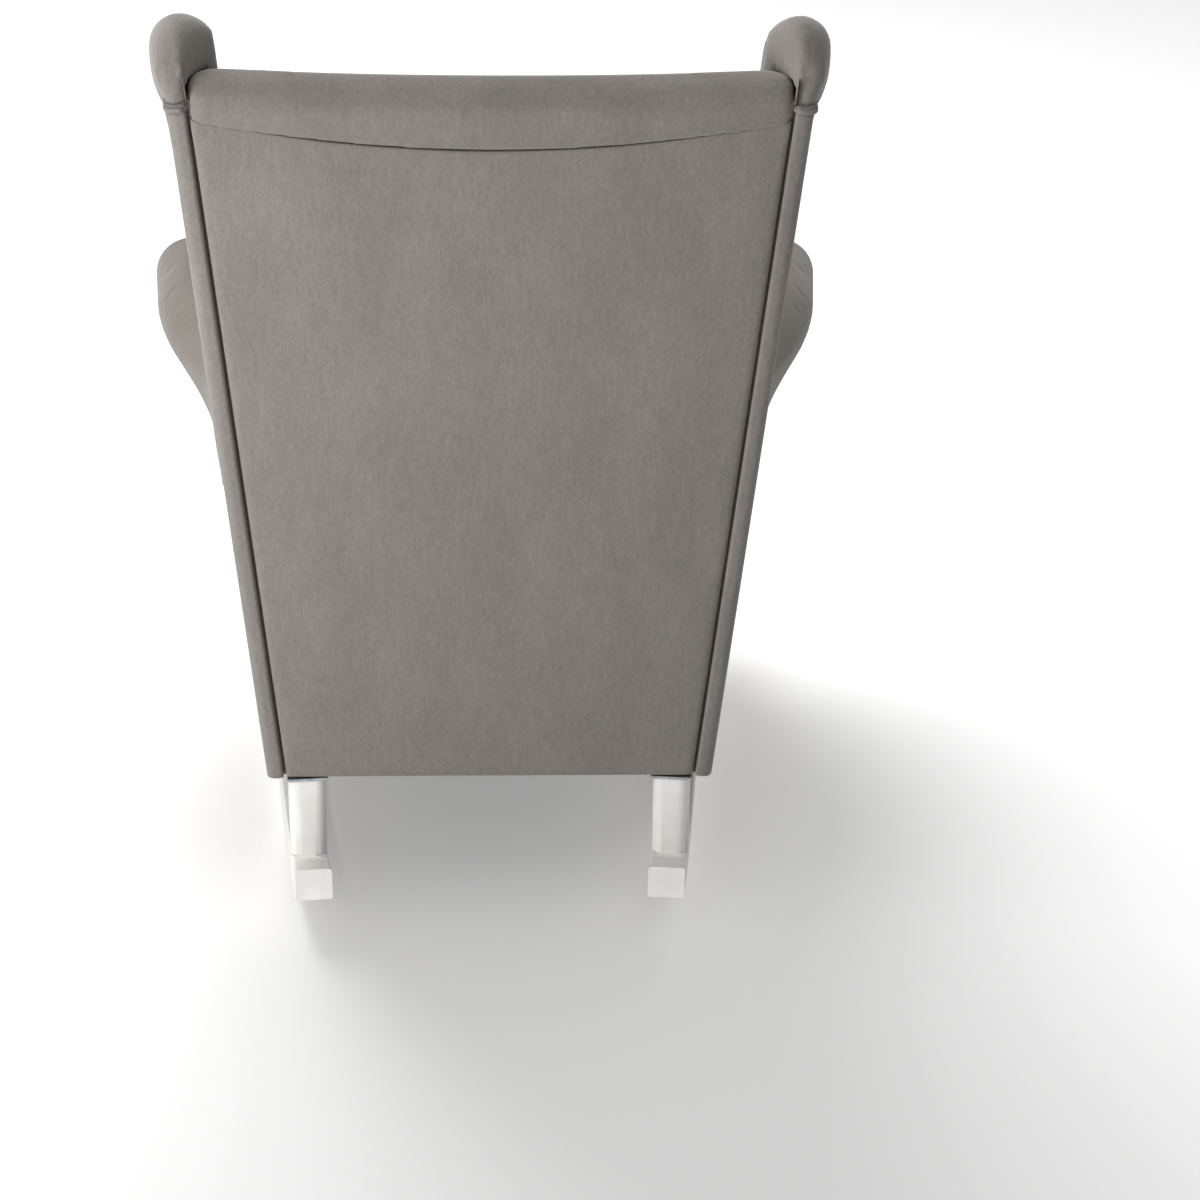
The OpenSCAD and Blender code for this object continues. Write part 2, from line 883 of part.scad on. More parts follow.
// Outside cover of a side: skin, rear strip, front strip, and the swell below the scroll
module side_panel(side) {
    low = -base_trim;
    rows = 8;
    sunk = 0.5;                              // the swell starts this far inside the skin
    start = on_board(scroll_start_y, arm_seam_z)[0];
    end = on_board(front_y, arm_z)[0];
    strip = cover_t - seam;
    color(fabric)
        level_base()
            difference() {
                union() {
                    on_side(side)
                        slab(-skin_t, 0)
                            cover_outline(0);
                    on_side(side)
                        slab(strip_in, 0)
                            intersection() {
                                cover_outline(0);
                                polygon([
                                    [back_a(-1, 0, -base_trim), -base_trim],
                                    [back_a(-1, 0, reach), reach],
                                    [back_a(strip, 0, reach), reach],
                                    [back_a(strip, 0, -base_trim), -base_trim]
                                ]);
                            }
                    on_side(side)
                        slab(strip_in, 0)
                            intersection() {
                                cover_outline(0);
                                polygon([
                                    on_board(front_y - 1, body_z - base_trim),
                                    on_board(front_y - 1, arm_z),
                                    on_board(front_y + strip / cos(splay), arm_z),
                                    on_board(front_y + strip / cos(splay), body_z - base_trim)
                                ]);
                            }
                    on_side(side)
                        skin([
                            for (i = [0 : rows])
                                let (
                                    a = start + (end - start) * i / rows,
                                    share = scroll_share(a),
                                    high = arm_h(a, seam_drop)
                                )
                                [
                                    [a, -2, high],
                                    [a, -2, low],
                                    for (k = [0 : rows])
                                        let (h = low + (high - low) * k / rows)
                                        [a, cover_swell(h) * share - sunk, h]
                                ]
                        ]);
                }
                ahead_of_arms();
            }
}

// Everything in front of the arm fronts
module ahead_of_arms() {
    translate([-reach, front_y - reach, -reach])
        cube([2 * reach, reach, 3 * reach]);
}

module wing_pad(side) {
    color(fabric)
        difference() {
            union() {
                difference() {
                    on_side(side)
                        slab(inner_n, board_in - seam + 0.1)
                            wing_zone();
                    behind(pad_back + seam);
                }
                on_side(side)
                    slab(board_in - seam, cap_low_t)
                        wing_zone();
                on_side(side)
                    slab(board_in - seam, cap_t)
                        intersection() {
                            wing_zone();
                            translate([-reach / 2, side_h(collar_z)])
                                square([reach, reach]);
                        }
            }
            on_side(side)
                slab(board_in - seam, board_out + seam)
                    board_outline(seam);
            on_side(side)
                slab(board_in - seam, cap_t + 1)
                    cover_outline(seam);
        }
}

module arm_pad(side) {
    start = on_board(arm_root_y, arm_root_z)[0] + seam;
    end = on_board(front_y, arm_z)[0];
    edge_r = 25;
    steps = 5;
    color(arm_fabric)
        difference() {
            on_side(side)
                skin([
                    for (i = [0 : 8])
                        arm_ring(start + (end - edge_r - start) * i / 8, 0),
                    for (i = [1 : steps])
                        let (turn = 90 * i / steps)
                        arm_ring(end - edge_r + edge_r * sin(turn), edge_r * (1 - cos(turn)) * 0.6)
                ]);
            on_side(side)
                slab(board_in - seam, board_out + seam)
                    board_outline(seam);
            arm_rail_block(side, 2 * seam);
        }
}

// Padded lining of a side between the deck and the arm's seam
module inner_side(side) {
    root_a = on_board(arm_root_y, arm_root_z)[0];
    front_a = on_board(front_y, arm_z)[0] + 20;
    color(fabric)
        difference() {
            intersection() {
                on_side(side)
                    slab(inner_n, board_in - seam)
                        polygon([
                            [0, 0],
                            [0, arm_h(0, seam_drop)],
                            [root_a, arm_h(0, seam_drop)],
                            [front_a, arm_h(front_a, seam_drop)],
                            [front_a, 0]
                        ]);
                crossbar(front_y, rear_y + back_t, deck_z, seat_z + arm_z);
            }
            behind(pad_back + seam);
        }
}

module dust_cover() {
    top = body_z - seam;
    sheet_t = 1.4;
    from_edge = 2;                           // short of the rear rail's edge
    round_plate = 1;                         // around each leg's plate
    color("#3a3836")
        difference() {
            between_sides(seam - board_in)
                crossbar(front_rail_y, rear_rail_y + rail_t - from_edge, top - sheet_t, top);
            for (side = SIDES)
                for (y = LEG_Y)
                    at_leg(side, y)
                        translate([-plate_w / 2 - round_plate, -plate_w / 2 - round_plate, 0])
                            cube([plate_w + 2 * round_plate, plate_w + 2 * round_plate, 2 * body_z]);
        }
}

module seat_cushion() {
    above_deck = 0.3;
    color(fabric)
        difference() {
            between_sides(cushion_gap - inner_n)
                crossbar(front_y - cushion_front, rear_y + cover_t, deck_z + above_deck, seat_z);
            behind(back_t + cushion_gap);
        }
}

rocker(1);  // rocker_left
rocker(-1);  // rocker_right
leg(1, rear_leg_y);  // rear_leg_left
leg(-1, rear_leg_y);  // rear_leg_right
leg(1, front_leg_y);  // front_leg_left
leg(-1, front_leg_y);  // front_leg_right
leg_plates();
leg_bolts(0);
rocker_screws();
side_board(1);  // side_board_left
side_board(-1);  // side_board_right
side_rail(1);  // side_rail_left
side_rail(-1);  // side_rail_right
front_rail();
rear_rail();
corner_blocks();
back_post(1);  // back_post_left
back_post(-1);  // back_post_right
cross_rail(cross_top_h - cross_h);  // top_rail
cross_rail(cross_low_h);  // lower_back_rail
arm_rail(1);  // arm_rail_left
arm_rail(-1);  // arm_rail_right
frame_screws();
frame_dowels();
seat_springs();
spring_clips();
back_webbing();
seat_deck();
front_border();
inner_back();
top_roll();
back_panel();
side_panel(1);  // side_panel_left
side_panel(-1);  // side_panel_right
wing_pad(1);  // wing_pad_left
wing_pad(-1);  // wing_pad_right
arm_pad(1);  // arm_pad_left
arm_pad(-1);  // arm_pad_right
inner_side(1);  // inner_side_left
inner_side(-1);  // inner_side_right
dust_cover();
seat_cushion();
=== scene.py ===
"""Wing chair on two rockers: padded, velvet-covered body on painted beech legs."""
import math

import bmesh
import bpy
import numpy as np
from mathutils import Matrix, Vector
from mathutils.bvhtree import BVHTree
from mathutils.geometry import delaunay_2d_cdt


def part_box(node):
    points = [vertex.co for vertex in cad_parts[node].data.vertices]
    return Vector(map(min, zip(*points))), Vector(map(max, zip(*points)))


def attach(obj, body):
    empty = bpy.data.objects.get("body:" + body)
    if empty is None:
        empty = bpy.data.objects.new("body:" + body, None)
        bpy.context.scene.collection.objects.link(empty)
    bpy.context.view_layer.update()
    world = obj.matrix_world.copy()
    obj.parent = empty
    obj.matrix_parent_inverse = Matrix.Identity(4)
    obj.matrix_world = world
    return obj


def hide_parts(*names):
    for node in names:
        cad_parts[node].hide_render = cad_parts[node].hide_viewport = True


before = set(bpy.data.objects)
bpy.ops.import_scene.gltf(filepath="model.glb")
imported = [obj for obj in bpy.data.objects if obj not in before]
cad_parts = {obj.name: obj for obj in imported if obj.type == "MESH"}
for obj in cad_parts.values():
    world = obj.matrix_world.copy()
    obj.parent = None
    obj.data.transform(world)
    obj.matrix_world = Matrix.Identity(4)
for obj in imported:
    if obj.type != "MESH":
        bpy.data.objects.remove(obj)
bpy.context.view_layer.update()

# ---------- Sizes of the body, in metres ----------

SPLAY = math.radians(5.8)
LEAN = math.radians(5.6)
RAKE = math.radians(10.56)
REAR_HALF = 0.240          # half width at the lower rear edge
REAR_Y = 0.275             # lower rear edge
FRONT_Y = -0.347           # arm fronts
BODY_Z = 0.160             # underside of the body
WING_Z = 1.063             # wing top at the rear, before rounding
WING_FRONT_Z = 0.978       # wing top at its front corner
BACK_Z = 0.983
COLLAR_Z = 0.957
ARM_Z = 0.567
ARM_ROOT_Y = 0.140
ARM_ROOT_Z = 0.577
ARM_SEAM_Z = 0.470
WAIST_Y = 0.118
WAIST_Z = 0.775
WING_TOP_Y = 0.203
DECK_Z = 0.325
SEAT_Z = 0.445
CUSHION_FRONT_Y = FRONT_Y - 0.025
BACK_T = 0.130             # thickness of the back
PAD_BACK = 0.0523          # depth at which the inner back's padding starts
COVER_T = 0.010            # padding over the rear and front edges
SKIN_T = 0.0026            # cover glued on the plywood
STRIP_IN = -0.0176         # inner edge of the strip beside the back panel
PANEL_IN = -0.0203         # edge of the back panel, over the groove
INNER_N = -0.052           # inner face of a side's padding
BOARD_IN = -0.0182
CAP_T = 0.0085             # how far a wing's cap stands out above its cuff
CAP_LOW_T = 0.0025         # and further down
CREASE_Z = 0.914
CREASE_R = 1.241
SCROLL_OUT = 0.058
SCROLL_R = 0.040
SCROLL_START_Y = 0.158
SCROLL_FULL_Y = -0.212
SEAM_DROP = ARM_Z - ARM_SEAM_Z

SIN_S, COS_S = math.sin(SPLAY), math.cos(SPLAY)
SIN_L, COS_L = math.sin(LEAN), math.cos(LEAN)
SIN_R, COS_R = math.sin(RAKE), math.cos(RAKE)
BACK_RISE = SIN_S * SIN_L * COS_R - COS_L * SIN_R     # how the back recedes up a side
BACK_TURN = SIN_S * COS_L * COS_R + SIN_L * SIN_R     # and outwards from it


def on_side(a, n, h, side=1):
    """World points from forward, outward and upward distances on a side's outer surface."""
    a, n, h = np.broadcast_arrays(a, n, h)
    x = REAR_HALF + a * SIN_S + n * COS_S * COS_L + h * COS_S * SIN_L
    y = REAR_Y - a * COS_S + n * SIN_S * COS_L + h * SIN_S * SIN_L
    z = BODY_Z - n * SIN_L + h * COS_L
    return np.stack([side * x, y, z], -1)


def beside(a, h, n):
    """The same for a pad laid on a side."""
    return on_side(a, n, h)


def laid(x, y, z):
    """World points of a pad laid level."""
    return np.stack(np.broadcast_arrays(x, y, z), -1)


def stood(x, z, y):
    """World points of a pad stood across the chair."""
    return laid(x, y, z)


def side_place(points):
    """Forward, outward and upward distances of world points, on the left side."""
    start = on_side(0.0, 0.0, 0.0)
    axes = np.array([on_side(1.0, 0.0, 0.0), on_side(0.0, 1.0, 0.0), on_side(0.0, 0.0, 1.0)]) - start
    return (points - start) @ np.linalg.inv(axes)


def on_back(x, out, h):
    """World points from distances across, out of and up the back's rear face."""
    x, out, h = np.broadcast_arrays(x, out, h)
    return np.stack([x, REAR_Y + out * COS_R + h * SIN_R, BODY_Z - out * SIN_R + h * COS_R], -1)


def side_x(y, z, n=0.0):
    """Half width of the chair at y and z, on the surface n outside a side."""
    lean = SIN_L * (z - BODY_Z) + n
    return REAR_HALF + (lean + SIN_S * COS_L * (REAR_Y - y)) / (COS_S * COS_L)


def back_x(out, h, n):
    """The same half width at a point given on the back."""
    point = on_back(0.0, out, h)
    return side_x(point[..., 1], point[..., 2], n)


def side_h(z):
    return (z - BODY_Z) / COS_L


def back_h(z):
    return (z - BODY_Z) / COS_R


def on_board(y, z):
    """Forward and up distances on a side of the point with this y and z."""
    h = side_h(z)
    return np.array([(REAR_Y - y + h * SIN_L * SIN_S) / COS_S, h])


def front_a(n, h):
    """Forward distance at which a side reaches the arm fronts."""
    return (REAR_Y - FRONT_Y + n * SIN_S * COS_L + h * SIN_L * SIN_S) / COS_S


def back_a(depth, n, h):
    """Forward distance on a side of a point that is depth in front of the rear face."""
    return (depth + n * BACK_TURN + h * BACK_RISE) / (COS_S * COS_R)


def depth_of(a, n, h):
    """Depth in front of the rear face of a point on a side."""
    return a * COS_S * COS_R - n * BACK_TURN - h * BACK_RISE


def crease_h(x):
    """Height up the back of the seam under the top roll, which dips in the middle."""
    return back_h(CREASE_Z) + CREASE_R - np.sqrt(CREASE_R ** 2 - np.asarray(x) ** 2)


def arm_h(a, drop=0.0):
    """Height on a side of the arm's top line less drop."""
    root, front = on_board(ARM_ROOT_Y, ARM_ROOT_Z), on_board(FRONT_Y, ARM_Z)
    t = np.maximum(0, (a - root[0]) / (front[0] - root[0]))
    return root[1] + (front[1] - root[1]) * t - drop / COS_L


def smooth(t):
    t = np.clip(t, 0, 1)
    return t * t * (3 - 2 * t)


def scroll_share(a):
    start, full = on_board(SCROLL_START_Y, ARM_Z)[0], on_board(SCROLL_FULL_Y, ARM_Z)[0]
    return smooth((a - start) / (full - start))


def cover_swell(h):
    return SCROLL_OUT * (np.maximum(0, h) / side_h(ARM_Z - SCROLL_R)) ** 5


# ---------- Outlines ----------

def rounded(corners, radii, steps=10):
    """A closed line through corners, each rounded with its radius."""
    made = []
    corners = [np.array(c, float) for c in corners]
    for i, (corner, radius) in enumerate(zip(corners, radii)):
        if not radius:
            made.append(corner)
            continue
        u = corners[i - 1] - corner
        v = corners[(i + 1) % len(corners)] - corner
        u, v = u / np.linalg.norm(u), v / np.linalg.norm(v)
        half = math.acos(float(u @ v)) / 2
        middle = corner + (u + v) / np.linalg.norm(u + v) * radius / math.sin(half)
        start = corner + u * radius / math.tan(half) - middle
        end = corner + v * radius / math.tan(half) - middle
        first = math.atan2(start[1], start[0])
        turn = math.atan2(start[0] * end[1] - start[1] * end[0], float(start @ end))
        for k in range(steps + 1):
            angle = first + turn * k / steps
            made.append(middle + radius * np.array([math.cos(angle), math.sin(angle)]))
    return np.array(made)


def silhouette_of_side(low=-0.02):
    """Outline of a side, from the lower rear corner up and round to the front."""
    top = side_h(WING_Z)
    corners = [
        [back_a(0, 0, low), low],
        [back_a(0, 0, top), top],
        on_board(WING_TOP_Y, WING_FRONT_Z),
        on_board(WAIST_Y, WAIST_Z),
        on_board(ARM_ROOT_Y, ARM_ROOT_Z),
        on_board(FRONT_Y, ARM_Z),
        on_board(FRONT_Y, BODY_Z + low),
    ]
    return rounded(corners, [0, 0.060, 0.110, 0.150, 0.060, 0, 0])


def both_sides(half, level):
    """Closed outline through half widths at these levels and their mirror image."""
    right = np.stack([half, level], 1)
    return np.concatenate([right, right[::-1] * [-1, 1]])


def evenly(line, step, closed=True):
    """The same line with points about step apart; its corners stay."""
    made = []
    ends = list(line[1:]) + ([line[0]] if closed else [])
    for p, q in zip(line, ends):
        count = max(1, round(float(np.linalg.norm(np.array(q) - p)) / step))
        made += [p + (q - p) * k / count for k in range(count)]
    return np.array(made if closed else made + [line[-1]])


def distances(points, line):
    """Distance of every point from every piece of a closed line."""
    ends = np.roll(line, -1, 0) - line
    length = np.maximum((ends ** 2).sum(1), 1e-12)
    gap = points[:, None, :] - line[None]
    t = np.clip((gap * ends).sum(2) / length, 0, 1)
    return np.linalg.norm(gap - t[..., None] * ends, axis=2)


def inside(points, line):
    """Whether each point lies within a closed line."""
    x, y = points[:, 0, None], points[:, 1, None]
    p, q = line, np.roll(line, -1, 0)
    crosses = (p[:, 1] > y) != (q[:, 1] > y)
    rise = np.where(q[:, 1] == p[:, 1], 1e-12, q[:, 1] - p[:, 1])
    at = p[:, 0] + (y - p[:, 1]) / rise * (q[:, 0] - p[:, 0])
    return (crosses & (x < at)).sum(1) % 2 == 1


# ---------- Meshes ----------

def mesh_piece(name, points, faces):
    """A piece from points and faces, tidied."""
    data = bpy.data.meshes.new(name)
    data.from_pydata([tuple(map(float, p)) for p in points], [], faces)
    piece = bpy.data.objects.new(name, data)
    bpy.context.scene.collection.objects.link(piece)
    tidy(piece)
    return piece


def tidy(piece):
    """Merges doubles, turns faces outwards and drops loose points."""
    shape = bmesh.new()
    shape.from_mesh(piece.data)
    bmesh.ops.remove_doubles(shape, verts=shape.verts, dist=1e-6)
    bmesh.ops.recalc_face_normals(shape, faces=shape.faces)
    bmesh.ops.delete(shape, geom=[v for v in shape.verts if not v.link_faces], context="VERTS")
    shape.to_mesh(piece.data)
    shape.free()
    piece.data.shade_smooth()


def only(piece):
    bpy.ops.object.select_all(action="DESELECT")
    piece.select_set(True)
    bpy.context.view_layer.objects.active = piece


def apply(piece, kind, **settings):
    """Adds a modifier with these settings and applies it."""
    modifier = piece.modifiers.new(kind, kind)
    for key, value in settings.items():
        setattr(modifier, key, value)
    only(piece)
    bpy.ops.object.modifier_apply(modifier=modifier.name)


def coordinates(piece):
    co = np.zeros(len(piece.data.vertices) * 3)
    piece.data.vertices.foreach_get("co", co)
    return co.reshape(-1, 3)


def move_to(piece, co):
    piece.data.vertices.foreach_set("co", np.ascontiguousarray(co).ravel())
    piece.data.update()


def rim_of(faces):
    """Edges that only one face has, in that face's order."""
    used = {}
    for face in faces:
        for edge in zip(face, face[1:] + face[:1]):
            key = tuple(sorted(edge))
            used[key] = None if key in used else edge
    return [edge for edge in used.values() if edge]


def ring_faces(count, sides, closed=False):
    """Faces between neighbouring rings of points."""
    faces = []
    for i in range(count if closed else count - 1):
        near, far = i * sides, (i + 1) % count * sides
        for k in range(sides):
            following = (k + 1) % sides
            faces.append((near + k, near + following, far + following, far + k))
    return faces


def pillow(name, outline, roll, heights, place, spacing=0.010):
    """A closed pad over a flat outline. heights(u, v) gives its back, lower edge, upper
    edge and face; its edges are rolled off over roll, one length or one per outline point."""
    radius = np.broadcast_to(np.asarray(roll, float), len(outline))
    low, high = outline.min(0), outline.max(0)
    grid = np.stack(np.meshgrid(
        np.arange(low[0], high[0], spacing), np.arange(low[1], high[1], spacing)), -1).reshape(-1, 2)
    tangent = np.roll(outline, -1, 0) - np.roll(outline, 1, 0)
    normal = np.stack([-tangent[:, 1], tangent[:, 0]], 1)
    normal /= np.maximum(np.linalg.norm(normal, axis=1), 1e-9)[:, None]
    turned = np.roll(outline, -1, 0)
    area = np.sum(outline[:, 0] * turned[:, 1] - outline[:, 1] * turned[:, 0])
    normal *= 1 if area > 0 else -1
    points = [outline]
    for share in (0.03, 0.12, 0.27, 0.48, 0.74):
        ring = outline + normal * (share * radius)[:, None]
        near = distances(ring, outline).min(1)
        points.append(ring[inside(ring, outline) & (near > 0.85 * share * radius)])
    gap = distances(grid, outline)
    free = (gap / radius).min(1) > 0.85
    points.append(grid[inside(grid, outline) & free & (gap.min(1) > spacing * 0.5)])
    points = np.concatenate(points)
    count = len(outline)
    edges = [(i, (i + 1) % count) for i in range(count)]
    flat, _, faces, *_ = delaunay_2d_cdt([Vector(p) for p in points], edges, [], 1, 1e-5)
    flat = np.array([tuple(p) for p in flat])
    share = np.clip((distances(flat, outline) / radius).min(1), 0, 1)
    crown = np.sqrt(1 - (1 - share) ** 2)
    back, lower, upper, face = (np.broadcast_to(h, len(flat)) for h in heights(flat[:, 0], flat[:, 1]))
    rows = [lower + (back - lower) * crown, upper + (face - upper) * crown]
    rim = rim_of(faces)
    made = [place(flat[:, 0], flat[:, 1], row) for row in rows]
    size = len(flat)
    shell = [tuple(f[::-1]) for f in faces] + [tuple(i + size for i in f) for f in faces]
    steps = max(1, round(float(np.abs(upper - lower).max()) / 0.012))
    for k in range(1, steps):
        made.append(place(flat[:, 0], flat[:, 1], lower + (upper - lower) * k / steps))
    order = [0, *range(2, steps + 1), 1]
    for low_row, high_row in zip(order, order[1:]):
        shell += [(p + low_row * size, q + low_row * size, q + high_row * size, p + high_row * size)
                  for p, q in rim]
    return mesh_piece(name, np.concatenate(made), shell)


def loft(name, rings):
    """A closed skin through rings of points, with each end filled from its middle."""
    rings = [np.asarray(ring, float) for ring in rings]
    count = len(rings[0])
    points = [p for ring in rings for p in ring] + [rings[0].mean(0), rings[-1].mean(0)]
    faces = ring_faces(len(rings), count)
    last = (len(rings) - 1) * count
    for k in range(count):
        faces.append((len(points) - 2, (k + 1) % count, k))
        faces.append((len(points) - 1, last + k, last + (k + 1) % count))
    return mesh_piece(name, points, faces)


def tube(name, path, radius, sides=10, closed=False):
    """A round cord of even thickness along a path."""
    path = np.asarray(path, float)
    ahead = np.roll(path, -1, 0) - np.roll(path, 1, 0)
    if not closed:
        ahead[0], ahead[-1] = path[1] - path[0], path[-1] - path[-2]
    ahead /= np.linalg.norm(ahead, axis=1)[:, None]
    across = np.cross(ahead[0], [0.3, 0.5, 0.8])
    rings = []
    for point, way in zip(path, ahead):
        across = across - way * (across @ way)
        across /= np.linalg.norm(across)
        other = np.cross(way, across)
        turns = np.arange(sides) * 2 * math.pi / sides
        rings.append(point + radius * (np.cos(turns)[:, None] * across + np.sin(turns)[:, None] * other))
    if not closed:
        return loft(name, rings)
    return mesh_piece(name, np.concatenate(rings), ring_faces(len(rings), sides, closed=True))


def joined(name, *pieces):
    """Several meshes made one piece."""
    bpy.ops.object.select_all(action="DESELECT")
    for piece in pieces:
        piece.select_set(True)
    bpy.context.view_layer.objects.active = pieces[0]
    bpy.ops.object.join()
    pieces[0].name = name
    return pieces[0]


def stuffed(piece, voxel, swell, rounds):
    """Covers a pad with fine fabric and lets its stuffing swell it by up to swell."""
    apply(piece, "REMESH", mode="VOXEL", voxel_size=voxel, use_smooth_shade=True)
    if rounds:
        apply(piece, "SMOOTH", factor=0.5, iterations=rounds)
    if not swell:
        return piece
    start = coordinates(piece)
    cloth = piece.modifiers.new("stuffing", "CLOTH")
    cloth.settings.use_pressure = True
    cloth.settings.uniform_pressure_force = 4.0
    cloth.settings.effector_weights.gravity = 0
    cloth.settings.quality = 3
    scene = bpy.context.scene
    for step in range(1, 21):
        scene.frame_set(step)
    posed = piece.evaluated_get(bpy.context.evaluated_depsgraph_get()).to_mesh()
    moved = np.zeros(len(posed.vertices) * 3)
    posed.vertices.foreach_get("co", moved)
    piece.modifiers.remove(cloth)
    scene.frame_set(1)
    shift = moved.reshape(-1, 3) - start
    length = np.maximum(np.linalg.norm(shift, axis=1), 1e-9)[:, None]
    move_to(piece, start + shift * np.minimum(1, swell / length))
    apply(piece, "SMOOTH", factor=0.5, iterations=2)
    return piece


def mirrored(piece, name):
    """A copy of a left-hand piece for the right-hand side."""
    data = piece.data.copy()
    data.transform(Matrix.Scale(-1, 4, (1, 0, 0)))
    data.flip_normals()
    other = bpy.data.objects.new(name, data)
    bpy.context.scene.collection.objects.link(other)
    return other


# ---------- Finishes ----------

def colour(code):
    """Linear colour of an sRGB hex code."""
    parts = [int(code[i:i + 2], 16) / 255 for i in (1, 3, 5)]
    return (*[c / 12.92 if c <= 0.04045 else ((c + 0.055) / 1.055) ** 2.4 for c in parts], 1)


def fill_in(tree, node, inputs):
    """Gives each of a node's inputs its value or its link."""
    for socket, value in inputs.items():
        if isinstance(value, bpy.types.NodeSocket):
            tree.links.new(value, node.inputs[socket])
        else:
            node.inputs[socket].default_value = value


def add(tree, kind, inputs=(), **settings):
    """Adds a node with its settings, and a value or a link for each of its inputs."""
    made = tree.nodes.new("ShaderNode" + kind)
    for key, value in settings.items():
        setattr(made, key, value)
    fill_in(tree, made, dict(inputs))
    return made


def finish_named(name):
    """A new material, its node tree and its shader."""
    made = bpy.data.materials.new(name)
    made.use_nodes = True
    return made, made.node_tree, made.node_tree.nodes["Principled BSDF"]


def pattern(tree, size, stretch=(1, 1, 1), detail=2.0, rough=0.5):
    """Noise whose features measure about size metres, stretched along each axis."""
    place = add(tree, "TexCoord").outputs["Object"]
    turned = add(tree, "Mapping", {"Vector": place, "Scale": [1 / s for s in stretch]})
    noise = add(tree, "TexNoise", {"Vector": turned.outputs[0], "Scale": 1 / size,
                                   "Detail": detail, "Roughness": rough})
    return noise.outputs["Factor" if "Factor" in noise.outputs else "Fac"]


def between(tree, factor, low, high, start=0.35, end=0.65):
    """A colour from low to high as factor goes from start to end."""
    ramp = add(tree, "ValToRGB", {"Fac": factor})
    for stop, place, code in zip(ramp.color_ramp.elements, (start, end), (low, high)):
        stop.position = place
        stop.color = colour(code)
    return ramp.outputs["Color"]


def blended(tree, base, over, factor, way):
    """A colour laid over another by factor, in one of the mix node's ways."""
    return add(tree, "Mix", {0: factor, 6: base, 7: over}, data_type="RGBA", blend_type=way).outputs[2]


def bumped(tree, shader, height, depth, strength, under=None):
    """Relief of this depth in metres, over an earlier relief."""
    inputs = {"Height": height, "Distance": depth, "Strength": strength}
    inputs |= {} if under is None else {"Normal": under}
    relief = add(tree, "Bump", inputs).outputs[0]
    tree.links.new(relief, shader.inputs["Normal"])
    return relief


def velvet(name, dark, light, pile_dark, pile_light):
    """Polyester microvelvet: short brushed pile, matt, pale at grazing angles, mottled by its nap."""
    made, tree, shader = finish_named(name)
    clouds = between(tree, pattern(tree, 0.060, (1, 1, 2.5), 3), dark, light)
    streaks = between(tree, pattern(tree, 0.005, (1, 1, 6), 3), pile_dark, pile_light, 0.3, 0.7)
    tone = blended(tree, clouds, streaks, 0.28, "OVERLAY")
    # The pile's tufts are 0.3 mm apart, drawn as 3 mm clumps so that they show
    clumps = pattern(tree, 0.0030, (1, 1, 1.5), 4, 0.65)
    grain = between(tree, clumps, pile_dark, pile_light, 0.35, 0.65)
    tone = blended(tree, tone, grain, 0.40, "OVERLAY")
    fill_in(tree, shader, {"Base Color": tone, "Roughness": 0.88, "Specular IOR Level": 0.15,
                           "Sheen Weight": 0.45, "Sheen Roughness": 0.40, "Sheen Tint": colour("#d6d4cf")})
    dents = pattern(tree, 0.024, (1, 1, 1.6), 2)
    relief = bumped(tree, shader, dents, 0.0010, 0.55)
    bumped(tree, shader, clumps, 0.0009, 0.7, relief)
    return made


def painted_wood(name):
    """Beech sprayed satin white: even film, faint grain under it, soft highlights."""
    made, tree, shader = finish_named(name)
    film = between(tree, pattern(tree, 0.05), "#cac8c5", "#d6d4d1")
    grain = pattern(tree, 0.0022, (1, 14, 1), 3, 0.6)
    shade = between(tree, grain, "#dedcd7", "#ffffff", 0.25, 0.6)
    fill_in(tree, shader, {"Base Color": blended(tree, film, shade, 0.25, "MULTIPLY"),
                           "Roughness": 0.36, "IOR": 1.5})
    relief = bumped(tree, shader, pattern(tree, 0.012), 0.0003, 0.3)
    bumped(tree, shader, grain, 0.00012, 0.5, relief)
    return made


def sawn_wood(name, dark, light, ring, along):
    """Planed softwood or birch ply: rings or plies of two tones stretched along the piece."""
    made, tree, shader = finish_named(name)
    rings = pattern(tree, ring, along, 4, 0.6)
    tone = between(tree, rings, dark, light, 0.3, 0.7)
    fibre = between(tree, pattern(tree, 0.001, along, 2), "#b89c74", "#ffffff", 0.2, 0.6)
    fill_in(tree, shader, {"Base Color": blended(tree, tone, fibre, 0.3, "MULTIPLY"), "Roughness": 0.62})
    bumped(tree, shader, rings, 0.0003, 0.4)
    return made


def plated_steel(name):
    """Zinc-plated steel: bright, slightly blotched crystals over fine drawing marks."""
    made, tree, shader = finish_named(name)
    spangle = pattern(tree, 0.004)
    fill_in(tree, shader, {"Base Color": between(tree, spangle, "#a6a9ab", "#c6c8c9"),
                           "Metallic": 1.0, "Roughness": 0.34})
    bumped(tree, shader, pattern(tree, 0.0008, (1, 1, 8), 2), 0.00005, 0.4)
    return made


def woven(name, dark, light, thread, relief_depth, rough=0.9):
    """Plain weave of two tones; warp and weft cross every thread."""
    made, tree, shader = finish_named(name)
    place = add(tree, "TexCoord").outputs["Object"]
    # Threads finer than 1.5 mm are drawn at 1.5 mm so that they show
    scale = 1 / (max(thread, 0.0015) * 6.3) * 3.14
    settings = {"Vector": place, "Scale": scale, "Distortion": 0.6, "Detail": 1.0}
    waves = [add(tree, "TexWave", settings, bands_direction=axis).outputs["Fac"] for axis in ("X", "Z")]
    weave = add(tree, "Math", {0: waves[0], 1: waves[1]}, operation="MULTIPLY").outputs[0]
    fill_in(tree, shader, {"Base Color": between(tree, weave, dark, light, 0.1, 0.8), "Roughness": rough})
    bumped(tree, shader, weave, relief_depth, 0.6)
    return made


